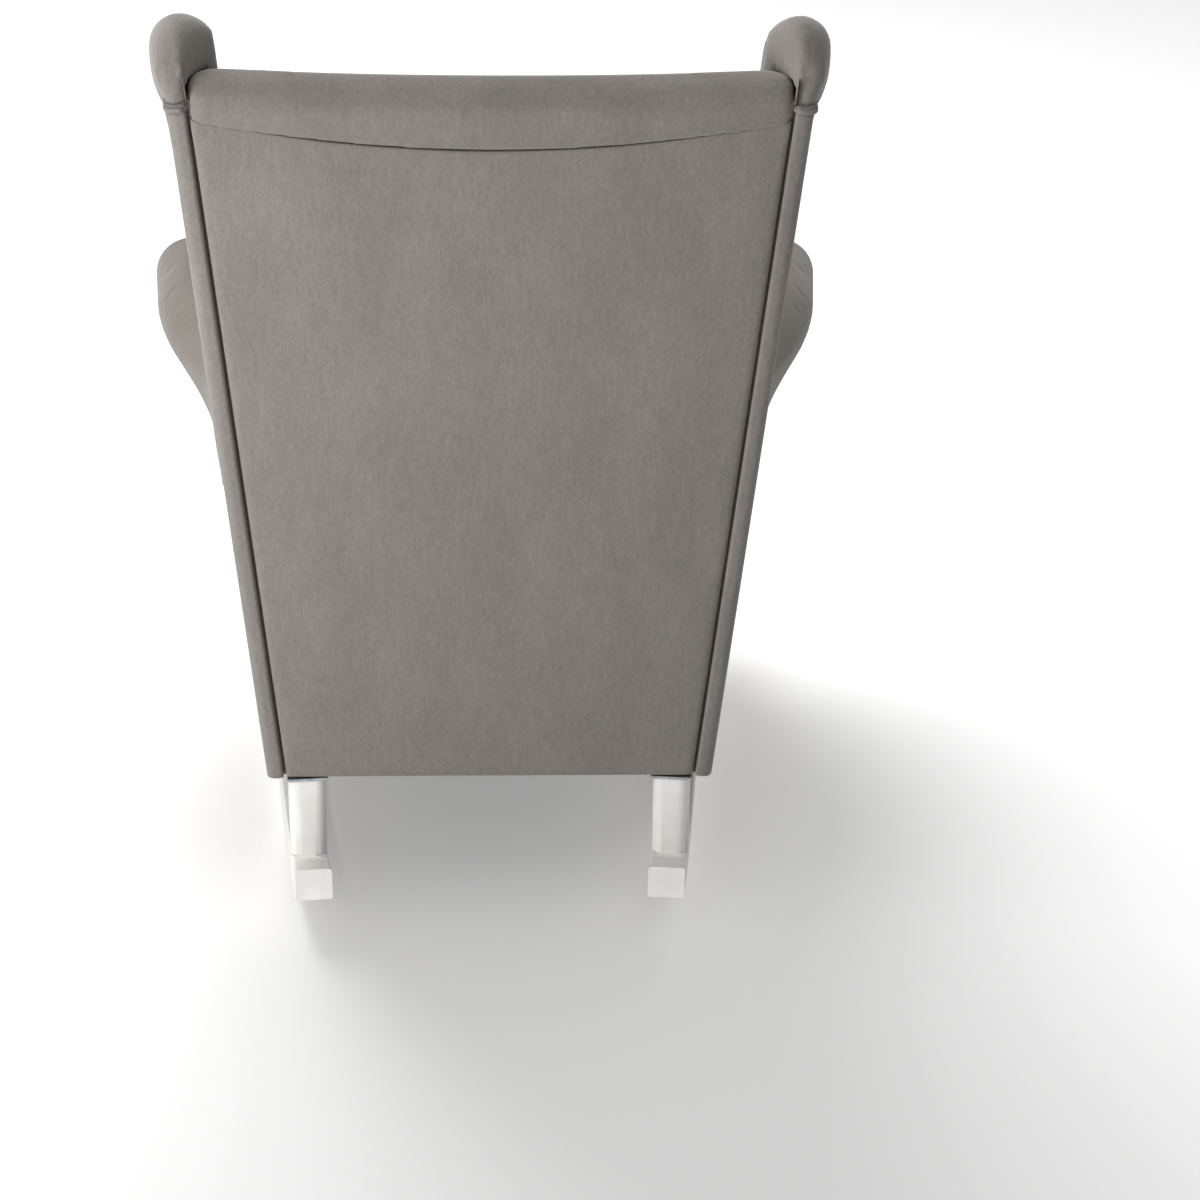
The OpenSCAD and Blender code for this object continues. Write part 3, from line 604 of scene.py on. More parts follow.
body_velvet = velvet("grey microvelvet", "#837f7b", "#898581", "#72706d", "#9f9c99")
# A darker, slightly browner copy of the body velvet: painted shade on the arms, also used for the cushion
# welts
shade_darkened_velvet = velvet("grey microvelvet, nap laid the other way", "#78726c", "#7e7872", "#645f5a", "#908a84")
white_paint = painted_wood("satin white painted beech")
pine = sawn_wood("planed pine", "#c9a676", "#e0c79c", 0.006, (1, 1, 12))
birch_ply = sawn_wood("birch plywood", "#cfae80", "#e6d1a9", 0.009, (1, 9, 9))
zinc = plated_steel("zinc-plated steel")
jute = woven("black and tan elastic webbing", "#3b3733", "#6b635a", 0.003, 0.0006)
cotton = woven("unbleached cotton lining", "#b9b1a4", "#cfc8bb", 0.0008, 0.0003)
felt = woven("black non-woven underlining", "#1f1e1d", "#33312f", 0.0015, 0.0002, 0.95)


def clad(piece, finish, body="chair", nodes=(), fill=None):
    """Gives a piece its finish, its body and the CAD nodes it stands for; fill is not used."""
    piece.data.materials.clear()
    piece.data.materials.append(finish)
    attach(piece, body)
    if nodes:
        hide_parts(*nodes)
    return piece


def pair(piece, node, finish, fill=None):
    """A left-hand piece and its mirror image, which stand for node_left and node_right."""
    other = mirrored(piece, piece.name.replace("left", "right"))
    clad(piece, finish, nodes=[node + "_left"], fill=fill)
    clad(other, finish, nodes=[node + "_right"], fill=fill)


# ---------- Back ----------

def across_back(low, high, n, out=0.0, corner=0.0, count=40):
    """Outline on the back between two heights, each a number or a function of x."""
    sides = []
    for edge in (low, high):
        ends = edge if callable(edge) else (lambda x, level=edge: level + 0 * x)
        half = 0.3
        for _ in range(6):
            half = back_x(out, ends(half), n)
        x = np.linspace(-half, half, count)
        sides.append(np.stack([x, ends(x)], 1))
    bottom, top = sides
    left = np.linspace(bottom[-1], top[-1], count)[1:-1]
    left[:, 0] = back_x(out, left[:, 1], n)
    right = left[::-1] * [-1, 1]
    return np.concatenate([bottom, left, top[::-1], right])


def soften(line, radius, where):
    """Rounds off the outline's points near a corner by averaging them."""
    line = line.copy()
    near = np.linalg.norm(np.abs(line) - np.abs(where), axis=1) < radius * 1.6
    for _ in range(60):
        average = (np.roll(line, 1, 0) + np.roll(line, -1, 0)) / 2
        line[near] = average[near]
    return line


def rear_cover():
    """The flat panel on the back, turned in at the grooves and pulled tight at the crease."""
    line = across_back(0.0006, lambda x: crease_h(x) - 0.0004, PANEL_IN, count=90)
    line = evenly(line, 0.008)
    top = crease_h(line[:, 0]) - line[:, 1] < 0.001
    roll = np.where(top, 0.016, 0.009)

    def heights(x, h):
        half = back_x(0.0, h, PANEL_IN)
        along = np.clip(h / 0.77, 0, 1)
        crown = 0.0022 * (1 - (x / half) ** 2) * np.sin(math.pi * along) ** 0.5
        puff = 0.0016 * np.exp(-(((np.abs(x) - half + 0.045) / 0.03) ** 2 + ((h - 0.075) / 0.06) ** 2))
        pull = 0.0006 * np.sin(x * 47 + 1.3 * np.sin(h * 9)) * np.exp(-(((h - 0.75) / 0.06) ** 2))
        edge = np.where(crease_h(x) - h < 0.02, -0.0018, -0.0042)
        return -0.0096, -0.0096, edge, crown + puff + pull

    return pillow("rear_cover", line, roll, heights, lambda x, h, out: on_back(x, out, h))


def roll_top(x):
    """Height up the back of the roll's top, which sags a little towards the middle."""
    return back_h(BACK_Z) - 0.0085 * np.clip(1 - (np.asarray(x) / 0.285) ** 2, 0, 1)


def slope_depth(x, h):
    """Depth at which the top of the back, falling away to the front, reaches a height."""
    return 0.044 + np.maximum(0, roll_top(x) - 0.004 - h) * 85 / 62


def head_roll():
    """The bolster across the top of the back."""
    line = across_back(lambda x: crease_h(x) - 0.0014, roll_top, PANEL_IN, count=80)
    line = evenly(soften(line, 0.011, np.array([line[:, 0].max(), line[:, 1].max()])), 0.007)
    near_top = np.clip((line[:, 1] - (roll_top(line[:, 0]) - 0.03)) / 0.03, 0, 1)
    low_edge = line[:, 1] - crease_h(line[:, 0]) < 0.001
    roll = np.where(low_edge, 0.010, 0.012 + 0.017 * near_top ** 2)

    def heights(x, h):
        rise = smooth((h - (roll_top(x) - 0.030)) / 0.030)
        front = -np.minimum(BACK_T - 0.002, slope_depth(x, h))
        upper = -0.0022 - 0.0238 * rise
        return front, np.minimum(front + 0.012, upper - 0.006), upper, 0.0035

    def place(x, h, out):
        room = back_x(out, h, np.where(out < -0.05, INNER_N - 0.0005, PANEL_IN))
        return on_back(np.clip(x, -room, room), out, h)

    return stuffed(pillow("head_roll", line, roll, heights, place, 0.009), 0.004, 0.002, 3)


def back_cushioning():
    """The thick padding that the sitter leans on."""
    line = across_back(back_h(DECK_Z) + 0.010, lambda x: crease_h(x) - 0.0004, INNER_N, -0.090)
    line = evenly(line * [0.992, 1], 0.012)
    level_edge = (line[:, 1] < back_h(DECK_Z) + 0.012) | (crease_h(line[:, 0]) - line[:, 1] < 0.001)
    roll = np.where(level_edge, 0.016, 0.030)

    def heights(x, h):
        lumbar = 0.006 * np.exp(-(((h - 0.30) / 0.12) ** 2))
        front = -np.minimum(BACK_T - 0.006 + lumbar, slope_depth(x, h))
        return front, np.minimum(-0.064, front + 0.022), -0.058, -PAD_BACK - 0.0008

    def place(x, h, out):
        share = back_x(out, h, INNER_N) / back_x(-0.090, h, INNER_N)
        return on_back(x * share, out, h)

    piece = stuffed(pillow("back_cushioning", line, roll, heights, place, 0.012), 0.006, 0.008, 4)
    co = coordinates(piece)
    room = side_x(co[:, 1], co[:, 2], INNER_N - 0.0006)
    co[:, 0] = np.clip(co[:, 0], -room, room)
    move_to(piece, co)
    return piece


# ---------- Sides ----------

SEAM_H = float(arm_h(0, SEAM_DROP))
COLLAR_H = side_h(COLLAR_Z)
CAP_LINE = np.array([on_board(y, z) for y, z in (
    (0.219, 0.480), (0.207, 0.640), (0.199, 0.760), (0.214, 0.812), (0.245, 0.857), (0.285, 0.895),
    (0.330, 0.921), (0.388, COLLAR_Z))])


def cap_a(h):
    """Forward distance of the seam between a side's cover and its wing's cap."""
    return np.interp(h, CAP_LINE[:, 1], CAP_LINE[:, 0])


def side_cover():
    """Outside cover of the left side, from the groove at the back round to the arm's front."""
    strip, thick, corner, lip = COVER_T - 0.0004, SKIN_T, 0.009, 0.004
    floor = strip - 0.0012                   # bottom of the groove beside the back panel
    rear = [(strip, PANEL_IN + 0.0002), (floor, PANEL_IN + 0.0002), (floor, STRIP_IN), (lip, STRIP_IN)]
    rear += [(lip - lip * math.sin(t), STRIP_IN + lip - lip * math.cos(t)) for t in (0.4, 0.8, 1.2, 1.57)]
    rear += [(0.0, n) for n in np.linspace(STRIP_IN + lip, -corner, 4)[1:]]
    rear += [(corner - corner * math.cos(t), -corner + corner * math.sin(t))
             for t in (0.26, 0.52, 0.79, 1.05, 1.31, 1.57)]
    split, ahead = 20, 46
    rows_low, rows_high = 44, 40
    outer, inner = [], []
    wing, end = len(rear) + split, len(rear) + split + ahead
    width = end + len(rear)
    for i in range(rows_low + rows_high + 1):
        for j in range(width):
            low = i <= rows_low
            t = i / rows_low if low else (i - rows_low) / rows_high
            h = t * SEAM_H if low else SEAM_H + t * (COLLAR_H + 0.003 - SEAM_H)
            if j < len(rear):
                depth, n = rear[j]
                outer.append((back_a(depth, n, h), n, h))
                inner.append((back_a(strip, min(n, -thick), h), min(n, -thick), h))
                continue
            start = back_a(corner, 0, h)
            if j < wing:
                share = (j - len(rear) + 1) / split
                a = start + max(0.0004, float(cap_a(max(h, SEAM_H))) + 0.002 - start) * share
                n = 0.0
            elif j < end:
                share = (j - wing + 1) / ahead
                first = float(cap_a(SEAM_H)) + 0.002
                a = first + (front_a(0, h) - corner - first) * share
                n = None
            else:
                depth, n = rear[width - 1 - j]
                n = max(n, STRIP_IN)
                a = None
            if j >= wing and low:
                reach = a if a is not None else front_a(0, h)
                h = t * (float(arm_h(reach, SEAM_DROP)) - 0.0006)
                swell = float(cover_swell(h)) * float(scroll_share(reach))
            else:
                swell = 0.0
            if a is None:
                wide = n
                if n > -corner - 1e-6:
                    wide = n + swell
                elif n > STRIP_IN + lip:
                    wide = n + swell * (n - STRIP_IN) / (-corner - STRIP_IN)
                outer.append((front_a(wide, h) - depth, wide, h))
                inner.append((front_a(0, h) - strip, min(n, -thick), h))
            else:
                outer.append((a, n if n is not None else swell, h))
                inner.append((a, -thick, h))
    faces = []
    for i in range(rows_low + rows_high):
        columns = width - 1 if i < rows_low else wing - 1
        for k in range(i * width, i * width + columns):
            faces.append((k, k + 1, k + width + 1, k + width))
    size = len(outer)
    shell = faces + [tuple(p + size for p in face[::-1]) for face in faces]
    shell += [(p + size, q + size, q, p) for p, q in rim_of(faces)]
    co = np.array(outer + inner)
    kept = sorted({p for face in shell for p in face})
    number = {p: i for i, p in enumerate(kept)}
    points = on_side(*co[kept].T)
    points[:, 2] = np.maximum(points[:, 2], BODY_Z + 0.0004)
    return mesh_piece("side_cover_left", points, [tuple(number[p] for p in f) for f in shell])


def wing_bolster():
    """Padding that wraps the left wing, capped outside and drawn in to a cuff at its lower end."""
    top = side_h(WING_Z)
    inset = 0.002
    rear_top = np.array([back_a(inset, 0, top), top - inset])
    front_top = on_board(WING_TOP_Y + inset, WING_FRONT_Z - inset)
    waist = on_board(WAIST_Y + inset, WAIST_Z)
    root = on_board(ARM_ROOT_Y + 0.0006, ARM_ROOT_Z)
    foot = np.array([root[0], SEAM_H + 0.0008])
    over_arm = rounded([waist, root, on_board(FRONT_Y, ARM_Z)], [0, 0.060, 0])[1:-1]
    front_edge = [*over_arm, root + [0, -0.0004], foot]
    silhouette = evenly(silhouette_of_side(), 0.010)

    cap = rounded(
        [[back_a(inset, 0, COLLAR_H), COLLAR_H - 0.001], rear_top, front_top, waist, *front_edge,
         [CAP_LINE[0, 0], foot[1]], *CAP_LINE[1:-1], [CAP_LINE[-1, 0], COLLAR_H - 0.001]],
        [0, 0.058, 0.108, 0.150, *[0] * (len(front_edge) + 1), *[0.04] * 6, 0.03])
    cap = evenly(cap, 0.007)

    def tucked(line):
        at_arm = (line[:, 0] > root[0] - 0.002) & (line[:, 1] < root[1] + 0.001)
        return at_arm | (np.abs(line[:, 1] - COLLAR_H) < 0.002)

    def outer(a, h):
        edge = distances(np.stack([a, h], 1), silhouette).min(1)
        depth = depth_of(a, -0.006, h)
        back_edge = 1 - smooth((depth - 0.01) / 0.05)
        middle = -0.018 + 0.012 * back_edge
        on_cap = edge > 0.030
        drawn_in = smooth((h - COLLAR_H) / 0.040) * back_edge + 1 - back_edge
        back = np.where(edge < 0.026, -0.0185, -0.0030)
        full = CAP_LOW_T + (CAP_T - CAP_LOW_T) * smooth((h - COLLAR_H + 0.030) / 0.060)
        face = (full + 0.001) * drawn_in - 0.001
        lower = np.where(on_cap, np.maximum(back, -0.003), middle)
        upper = np.where(on_cap, 0.0, middle)
        return back, np.minimum(lower, upper), upper, face

    edge = distances(cap, silhouette).min(1)
    depth = depth_of(cap[:, 0], -0.006, cap[:, 1])
    roll = np.where(edge > 0.030, 0.016, np.where(depth < 0.02, 0.016, 0.026))
    roll = np.where(tucked(cap), 0.005, roll)
    shell = pillow("wing_bolster_left", cap, roll, outer, beside, 0.008)

    beside_top = back_h(BACK_Z) * COS_R / COS_L + 0.002
    lining = rounded(
        [[back_a(0.004, -0.02, COLLAR_H), COLLAR_H - 0.001], rear_top + [0.003, 0],
         front_top, waist, *front_edge,
         [back_a(PAD_BACK + 0.0012, -0.04, foot[1]), foot[1]],
         [back_a(PAD_BACK + 0.0012, -0.04, COLLAR_H), COLLAR_H]],
        [0, 0.056, 0.108, 0.150, *[0] * (len(front_edge) + 2)])
    lining = evenly(lining, 0.008)
    edge = distances(lining, silhouette).min(1)

    def inner(a, h):
        edge = distances(np.stack([a, h], 1), silhouette).min(1)
        depth = depth_of(a, -0.03, h)
        back = -0.0202 - 0.0308 * smooth((depth - 0.004) / 0.075)
        upper = np.where(edge < 0.024, -0.0160, -0.0195)
        lower = np.where(edge < 0.03, -0.018, np.maximum(back, -0.030))
        return back, np.minimum(lower, upper), upper, upper

    roll = np.where(edge < 0.03, 0.028, 0.012)
    roll = np.where(tucked(lining), 0.005, roll)
    pad = pillow("wing_lining", lining, roll, inner, beside, 0.009)
    piece = stuffed(joined("wing_bolster_left", shell, pad), 0.0046, 0.0025, 4)
    co = coordinates(piece)
    local = side_place(co)
    depth = depth_of(*local.T)
    beside_roll = (depth < PAD_BACK + 0.0008) & (local[:, 2] < beside_top)
    over_roll = smooth((local[:, 2] - beside_top + 0.009) / 0.009)
    limit = np.where(beside_roll, -0.0196 + (INNER_N + 0.0196) * over_roll, INNER_N + 0.0002)
    local[:, 1] = np.maximum(local[:, 1], limit)
    move_to(piece, on_side(*local.T))
    under = np.array([[root[0] - 0.030, foot[1]], [root[0] + 0.030, foot[1]],
                      [root[0] + 0.030, root[1] - 0.028], [root[0] - 0.030, root[1] - 0.010]])
    heights = lambda a, h: (-0.0029, -0.0027, -0.0023, -0.0021)
    lap = pillow("lap", evenly(under, 0.008), 0.003, heights, beside, 0.010)
    return joined("wing_bolster_left", gathered(piece), turned_in_flap(beside_top), lap)


def turned_in_flap(top):
    """Edge of a wing's cover, turned in and stapled on the plywood beside the head roll."""
    ends = [(0.0097, COLLAR_H - 0.030), (0.0097, COLLAR_H + 0.0031), (0.0035, COLLAR_H + 0.0036),
            (0.0035, top), (0.0900, top), (0.0900, COLLAR_H - 0.030)]
    line = evenly(np.array([[back_a(depth, -0.019, h), h] for depth, h in ends]), 0.010)
    heights = lambda a, h: (-0.0197, -0.0193, -0.0188, -0.0186)
    return pillow("flap", line, 0.003, heights, beside, 0.014)


def gathered(piece):
    """Small pleats where a wing's cap is drawn in to its cuff."""
    co = coordinates(piece)
    local = side_place(co)
    depth = depth_of(*local.T)
    rise = np.clip((local[:, 2] - COLLAR_H) / 0.034, 0, 1)
    reach = np.clip(1 - depth / 0.05, 0, 1) * (rise < 1) * (1 - rise) ** 1.5
    around = local[:, 1] - depth
    normals = np.zeros(len(co) * 3)
    piece.data.vertices.foreach_get("normal", normals)
    wave = np.cos(around / 0.0075 * 2 * math.pi) * 0.0009
    co += normals.reshape(-1, 3) * (reach * wave)[:, None]
    move_to(piece, co)
    return piece


def cuff():
    """Welt along the seam between a side's cover and its wing's cap."""
    lift, level = 0.0008, COLLAR_H - 0.001
    corner = 0.0085
    path = [(0.007, STRIP_IN - 0.0005), (0.003, STRIP_IN + 0.0005), (-lift, STRIP_IN + 0.005)]
    path += [(-lift, -0.014), (-lift, -0.0105)]
    path += [(corner - (corner + lift) * math.cos(t), -corner + (corner + lift) * math.sin(t))
             for t in (0.3, 0.6, 0.9, 1.2, 1.5)]
    points = [on_side(back_a(depth, n, level), n, level) for depth, n in path]
    start = back_a(0.012, 0, level)
    seam = [np.array([start, level])]
    seam += [p + [-0.001, 0] for p in CAP_LINE[:0:-1]]
    seam.append(np.array([CAP_LINE[0, 0] - 0.001, SEAM_H + 0.004]))
    seam = evenly(np.array(seam), 0.006, closed=False)
    for _ in range(20):
        seam[1:-1] = (seam[:-2] + 2 * seam[1:-1] + seam[2:]) / 4
    points += list(on_side(seam[:, 0], lift, seam[:, 1]))
    return tube("cap_welt_left", np.array(points), 0.0026)


def arm_bolster():
    """The left arm's pad: flat on the inside, rolling outwards into a scroll at its front."""
    start = on_board(ARM_ROOT_Y, ARM_ROOT_Z)[0] + 0.0004
    end = on_board(FRONT_Y, ARM_Z)[0] - 0.001
    edge = 0.034
    places = [(a, 0.0) for a in np.linspace(start, end - edge, 32)]
    places += [(end - edge + edge * math.sin(t), edge * 0.70 * (1 - math.cos(t)))
               for t in np.linspace(0.2, math.pi / 2, 9)]
    rings = []
    for a, tuck in places:
        share = float(scroll_share(a))
        top = float(arm_h(a)) - tuck - 0.0015
        low = float(arm_h(a, SEAM_DROP)) + 0.0008 + tuck * 0.3
        r_out, r_in = (0.7 + 0.3 * share) * SCROLL_R, 0.026
        out = SCROLL_OUT * share - tuck - 0.0015
        inner = INNER_N + tuck + 0.0015
        foot = float(cover_swell(low)) * share - tuck * 0.5
        turn = np.linspace(0, math.pi / 2, 10)
        flank = np.linspace(0, 1, 8)[:-1]
        bulge = np.sin(flank * math.pi) * 0.001
        ring = [(inner + 0.008, low), (foot - 0.010, low), (foot - 0.002, low + 0.001)]
        ring += list(zip(foot + (out - foot) * np.sin(flank * math.pi / 2) ** 1.05 + bulge,
                         low + 0.004 + (top - r_out - low - 0.004) * flank))
        ring += list(zip(out - r_out + r_out * np.cos(turn), top - r_out + r_out * np.sin(turn)))
        ring += list(zip(inner + r_in - r_in * np.sin(turn), top - r_in + r_in * np.cos(turn)))
        ring += [(inner, low + 0.03), (inner + 0.002, low + 0.004)]
        rings.append(on_side(a, *np.array(ring).T))
    return stuffed(loft("arm_bolster_left", rings), 0.0045, 0.003, 3)


def side_lining():
    """Padded lining of the left side, from the deck up to the arm's seam."""
    rear, front = back_a(PAD_BACK + 0.0012, -0.04, 0.2), front_a(-0.04, 0.2) - 0.0015
    low = side_h(DECK_Z) + 0.002
    high = float(arm_h(front, SEAM_DROP)) - 0.001
    corners = [[rear, low], [rear - 0.030, SEAM_H - 0.001], [front, high], [front, low]]
    line = evenly(rounded(corners, [0.006, 0.006, 0.012, 0.012]), 0.010)
    heights = lambda a, h: (INNER_N + 0.0006, -0.034, -0.024, BOARD_IN - 0.0004)
    return pillow("side_lining_left", line, 0.014, heights, beside, 0.012)


# ---------- Seat ----------

def seat_cushion():
    """The loose box cushion, tight in the middle and drawn in at its sides."""
    mid, low, high = (DECK_Z + SEAT_Z) / 2, DECK_Z + 0.0006, SEAT_Z - 0.003
    back_y = REAR_Y + (mid - BODY_Z) * math.tan(RAKE) - (BACK_T + 0.004) / COS_R
    y = np.linspace(CUSHION_FRONT_Y + 0.006, back_y - 0.005, 30)
    half = side_x(y, mid, INNER_N) - 0.009
    line = both_sides(half, y)
    corners = [line[0], line[29], line[30], line[-1]]
    line = evenly(rounded(corners, [0.035] * 4), 0.010)

    def heights(x, v):
        return low, low + 0.014, high - 0.016, high + 0.004

    def place(x, v, z):
        share = side_x(v, z, INNER_N) / side_x(v, mid, INNER_N)
        lean = (z - mid) * math.tan(RAKE) * smooth((v - CUSHION_FRONT_Y) / 0.5)
        return laid(x * share, v + lean, z)

    piece = stuffed(pillow("box_cushion", line, 0.022, heights, place, 0.012), 0.006, 0.012, 3)
    co = confined(coordinates(piece), 0.0012)
    move_to(piece, co)
    skin = BVHTree.FromPolygons([tuple(p) for p in co], [tuple(p.vertices) for p in piece.data.polygons])
    welts = []
    for name, level in (("upper", high - 0.012), ("lower", low + 0.011)):
        path = place(line[:, 0], line[:, 1], level)
        outward = path - [0, line[:, 1].mean(), level]
        outward[:, 2] = 0
        far = path + outward / np.linalg.norm(outward, axis=1)[:, None] * 0.006
        path = np.array([tuple(skin.find_nearest(Vector(p))[0]) for p in far])
        for _ in range(6):
            path = (np.roll(path, 1, 0) + 2 * path + np.roll(path, -1, 0)) / 4
        welts.append(tube("cushion_welt_" + name, confined(path, 0.0034), 0.0030, closed=True))
    return piece, welts


def confined(co, gap):
    """Points kept clear of the deck, the sides and the back by gap."""
    co = co.copy()
    room = side_x(co[:, 1], co[:, 2], INNER_N - gap)
    inside_arms = co[:, 1] > FRONT_Y - 0.002
    co[:, 0] = np.where(inside_arms, np.clip(co[:, 0], -room, room), co[:, 0])
    co[:, 2] = np.maximum(co[:, 2], DECK_Z + gap * 0.4)
    wall = REAR_Y + (co[:, 2] - BODY_Z) * math.tan(RAKE) - (BACK_T + 0.001 + gap) / COS_R
    co[:, 1] = np.minimum(co[:, 1], wall)
    return co


def border():
    """Padded band below the cushion, across the front."""
    z = np.linspace(BODY_Z + 0.0004, DECK_Z - 0.001, 16)
    half = side_x(FRONT_Y + 0.010, z, BOARD_IN - 0.0002)
    line = evenly(both_sides(half, z), 0.010)
    heights = lambda x, z: (FRONT_Y + 0.0005 - 0.0015 * (1 - (x / 0.27) ** 2), FRONT_Y + 0.006,
                            FRONT_Y + 0.018, FRONT_Y + 0.0195)
    return pillow("front_border_pad", line, 0.009, heights, stood, 0.010)


def deck():
    """Lined top of the springs, under the cushion."""
    rear = REAR_Y + (0.305 - BODY_Z) * math.tan(RAKE) - (PAD_BACK + 0.006) / COS_R
    y = np.linspace(FRONT_Y + 0.0212, rear, 24)
    half = side_x(y, 0.305, BOARD_IN - 0.001)
    line = evenly(both_sides(half, y), 0.012)
    heights = lambda x, y: (0.2868, 0.2900, 0.3190, DECK_Z - 0.0006 - 0.003 * (x / 0.27) ** 2)
    return pillow("deck_pad", line, 0.014, heights, laid, 0.014)


def underlining():
    """Thin non-woven sheet stapled under the frame, cut back round the legs."""
    front, rear = FRONT_Y + 0.0205, REAR_Y - 0.0125
    y0, y1 = FRONT_Y + 0.058, REAR_Y - 0.048
    x0 = float(side_x(front, BODY_Z, BOARD_IN - 0.0005))
    x1 = float(side_x(rear, BODY_Z, BOARD_IN - 0.0005))
    mid0, mid1 = (float(side_x(y, BODY_Z, BOARD_IN - 0.0005)) for y in (y0, y1))
    cut = 0.046                              # width cut away beside each leg
    right = [(x0 - cut, front), (x0 - cut, y0), (mid0, y0), (mid1, y1), (x1 - cut, y1), (x1 - cut, rear)]
    line = both_sides(*np.array(right).T)
    turned = np.roll(line, -1, 0)
    area = abs(float((line[:, 0] * turned[:, 1] - line[:, 1] * turned[:, 0]).sum())) / 2
    line = evenly(line, 0.012)
    under, over = BODY_Z - 0.0010, BODY_Z - 0.0004

    def heights(x, y):
        across = 1 - np.clip(x / 0.25, -1, 1) ** 2
        sag = 0.0012 * across * np.sin(math.pi * (y - front) / (rear - front))
        return under - sag, under, over, over - sag

    return pillow("underlining_sheet", line, 0.004, heights, laid, 0.020), (2 * x0, rear - front, area)


def webbing():
    """Flat elastic bands across the back frame, one for each band of the CAD node."""
    low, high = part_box("back_webbing")
    band, count = 0.050, 5
    first = back_h(low.z) + 0.002
    last = back_h(high.z) - band - 0.002
    pieces = []
    for i in range(count):
        h = first + (last - first) * i / (count - 1)
        rings = []
        for x in np.linspace(-1, 1, 25):
            out = -0.0512
            half = float(back_x(out, h, BOARD_IN - 0.0006))
            bow = 0.0003 * math.sin(x * 9)
            section = [(-0.0006, h + 0.001), (-0.0008, h + 0.025), (-0.0006, h + band - 0.001),
                       (0.0006, h + band - 0.001), (0.0004, h + 0.025), (0.0006, h + 0.001)]
            rings.append([on_back(x * half, out + bow + o, up) for o, up in section])
        pieces.append(loft("band", rings))
    return joined("webbing_bands", *pieces)


# ---------- Legs and rockers ----------

def eased(node, width):
    """A copy of a turned or sawn part with its sharp edges sanded round."""
    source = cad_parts[node]
    piece = bpy.data.objects.new(node + "_eased", source.data.copy())
    bpy.context.scene.collection.objects.link(piece)
    only(piece)
    bpy.ops.object.mode_set(mode="EDIT")
    bpy.ops.mesh.select_all(action="SELECT")
    bpy.ops.mesh.remove_doubles(threshold=1e-5)
    bpy.ops.mesh.dissolve_limited(angle_limit=math.radians(0.4))
    bpy.ops.mesh.select_all(action="DESELECT")
    bpy.ops.mesh.select_mode(type="EDGE")
    bpy.ops.mesh.edges_select_sharp(sharpness=math.radians(35))
    shape = bmesh.from_edit_mesh(piece.data)
    for edge in shape.edges:
        if edge.select and edge.calc_length() < 0.0032:
            edge.select = False
    bmesh.update_edit_mesh(piece.data)
    bpy.ops.mesh.bevel(offset=width, segments=3, affect="EDGES", clamp_overlap=True)
    bpy.ops.object.mode_set(mode="OBJECT")
    piece.data.shade_smooth()
    bpy.ops.object.shade_smooth_by_angle(angle=math.radians(32))
    return piece


# ---------- Assembly ----------

for make, node, fill in ((rear_cover, "back_panel", 0.5), (head_roll, "top_roll", 0.8),
                         (back_cushioning, "inner_back", 0.7)):
    clad(make(), body_velvet, nodes=[node], fill=fill)
pair(side_cover(), "side_panel", body_velvet, fill=0.4)
pair(wing_bolster(), "wing_pad", body_velvet, fill=0.8)
pair(arm_bolster(), "arm_pad", shade_darkened_velvet, fill=0.8)
pair(side_lining(), "inner_side", body_velvet, fill=0.6)
clad(border(), body_velvet, nodes=["front_border"], fill=0.6)
clad(deck(), cotton, nodes=["seat_deck"], fill=0.6)
welt = cuff()
for piece in (welt, mirrored(welt, "cap_welt_right")):
    clad(piece, body_velvet)

cushion, cushion_welts = seat_cushion()
clad(cushion, body_velvet, "cushion", ["seat_cushion"], 0.7)
for piece in cushion_welts:
    clad(piece, shade_darkened_velvet, "cushion")

sheet, (sheet_width, sheet_length, sheet_area) = underlining()
clad(sheet, felt, nodes=["dust_cover"])
clad(webbing(), jute, nodes=["back_webbing"])

for part, edge in (("rocker", 0.0022), ("rear_leg", 0.0010), ("front_leg", 0.0010)):
    for node in (part + "_left", part + "_right"):
        clad(eased(node, edge), white_paint, nodes=[node])

bare_nodes = {
    zinc: ["leg_plates", "leg_bolts", "rocker_screws", "frame_screws", "seat_springs", "spring_clips"],
    birch_ply: ["side_board_left", "side_board_right"],
    pine: ["side_rail_left", "side_rail_right", "front_rail", "rear_rail", "corner_blocks", "back_post_left",
           "back_post_right", "top_rail", "lower_back_rail", "arm_rail_left", "arm_rail_right",
           "frame_dowels"],
}
for finish, names in bare_nodes.items():
    for name in names:
        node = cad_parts[name]
        node.data.materials.clear()
        node.data.materials.append(finish)

# ---------- Floor, light and camera ----------

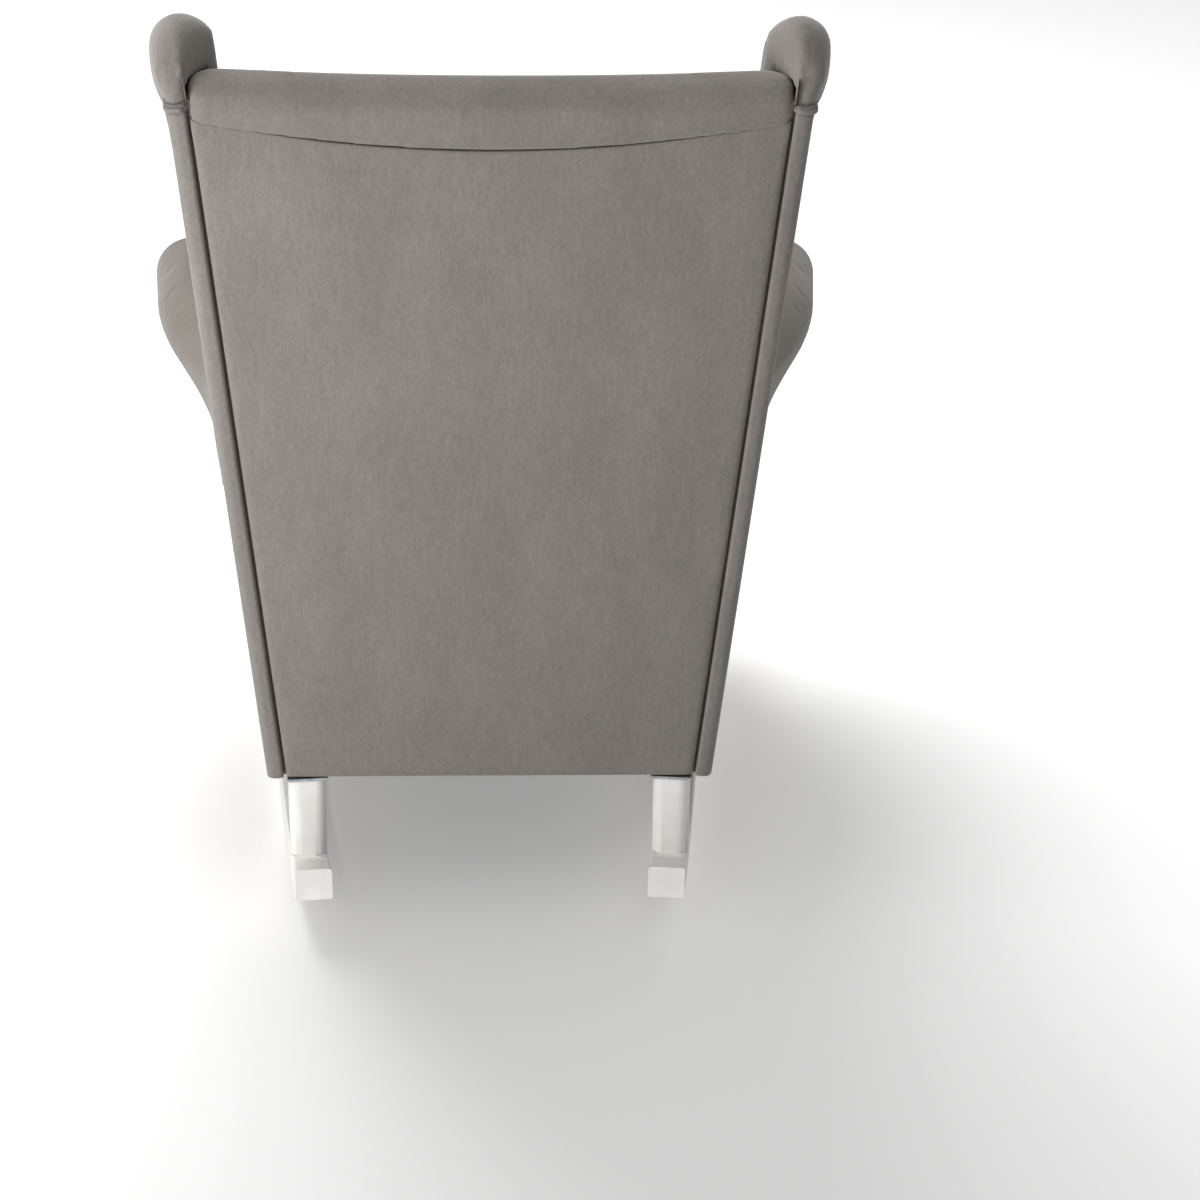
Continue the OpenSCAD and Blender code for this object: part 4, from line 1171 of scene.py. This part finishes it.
floor_paint, tree, shader = finish_named("matt white floor")
fill_in(tree, shader, {"Base Color": colour("#f4f4f4"), "Roughness": 0.9, "Specular IOR Level": 0.1,
                       "Emission Color": (1, 1, 1, 1), "Emission Strength": 0.24})
bpy.ops.mesh.primitive_plane_add(size=40, location=(0, 0, 0))
floor = bpy.context.object
floor.name = "floor"
floor.data.materials.append(floor_paint)

world = bpy.data.worlds.new("studio")
bpy.context.scene.world = world
world.use_nodes = True
fill_in(world.node_tree, world.node_tree.nodes["Background"], {"Color": (1, 1, 1, 1), "Strength": 0.47})

chair_only = bpy.data.collections.new("not on the floor")
chair_only.objects.link(floor)
chair_only.collection_objects[0].light_linking.link_state = "EXCLUDE"


def soft_light(name, place, aim, size, power, on_floor=True):
    lamp = bpy.data.lights.new(name, "AREA")
    lamp.shape = "DISK"
    lamp.size = size
    lamp.energy = power
    made = bpy.data.objects.new(name, lamp)
    made.location = place
    made.rotation_euler = (Vector(aim) - Vector(place)).to_track_quat("-Z", "Y").to_euler()
    bpy.context.scene.collection.objects.link(made)
    if not on_floor:
        made.light_linking.receiver_collection = chair_only


soft_light("key", (0.85, -1.80, 2.90), (0, 0, 0.3), 2.5, 105)
soft_light("side", (1.05, 1.10, 0.62), (0.1, 0.3, 0.45), 0.7, 16, on_floor=False)
soft_light("upper", (0.95, 1.50, 2.00), (0, 0.3, 0.90), 1.2, 18, on_floor=False)

camera = bpy.data.cameras.new("camera")
camera.lens = 98.53
camera.sensor_width = 36
camera.clip_end = 100
viewer = bpy.data.objects.new("camera", camera)
bpy.context.scene.collection.objects.link(viewer)
pitch, yaw, tilt = 0.45469, -0.04579, 0.01706
forward = Vector((math.sin(yaw) * math.cos(pitch), -math.cos(yaw) * math.cos(pitch), -math.sin(pitch)))
level = Vector((-math.cos(yaw), -math.sin(yaw), 0))
upright = level.cross(forward)
right = level * math.cos(tilt) + upright * math.sin(tilt)
upright = upright * math.cos(tilt) - level * math.sin(tilt)
turned = Matrix((right, upright, -forward)).transposed().to_4x4()
viewer.matrix_world = Matrix.Translation((0.02670, 3.38754, 1.89747)) @ turned
bpy.context.scene.camera = viewer
bpy.context.scene.view_settings.view_transform = "Standard"
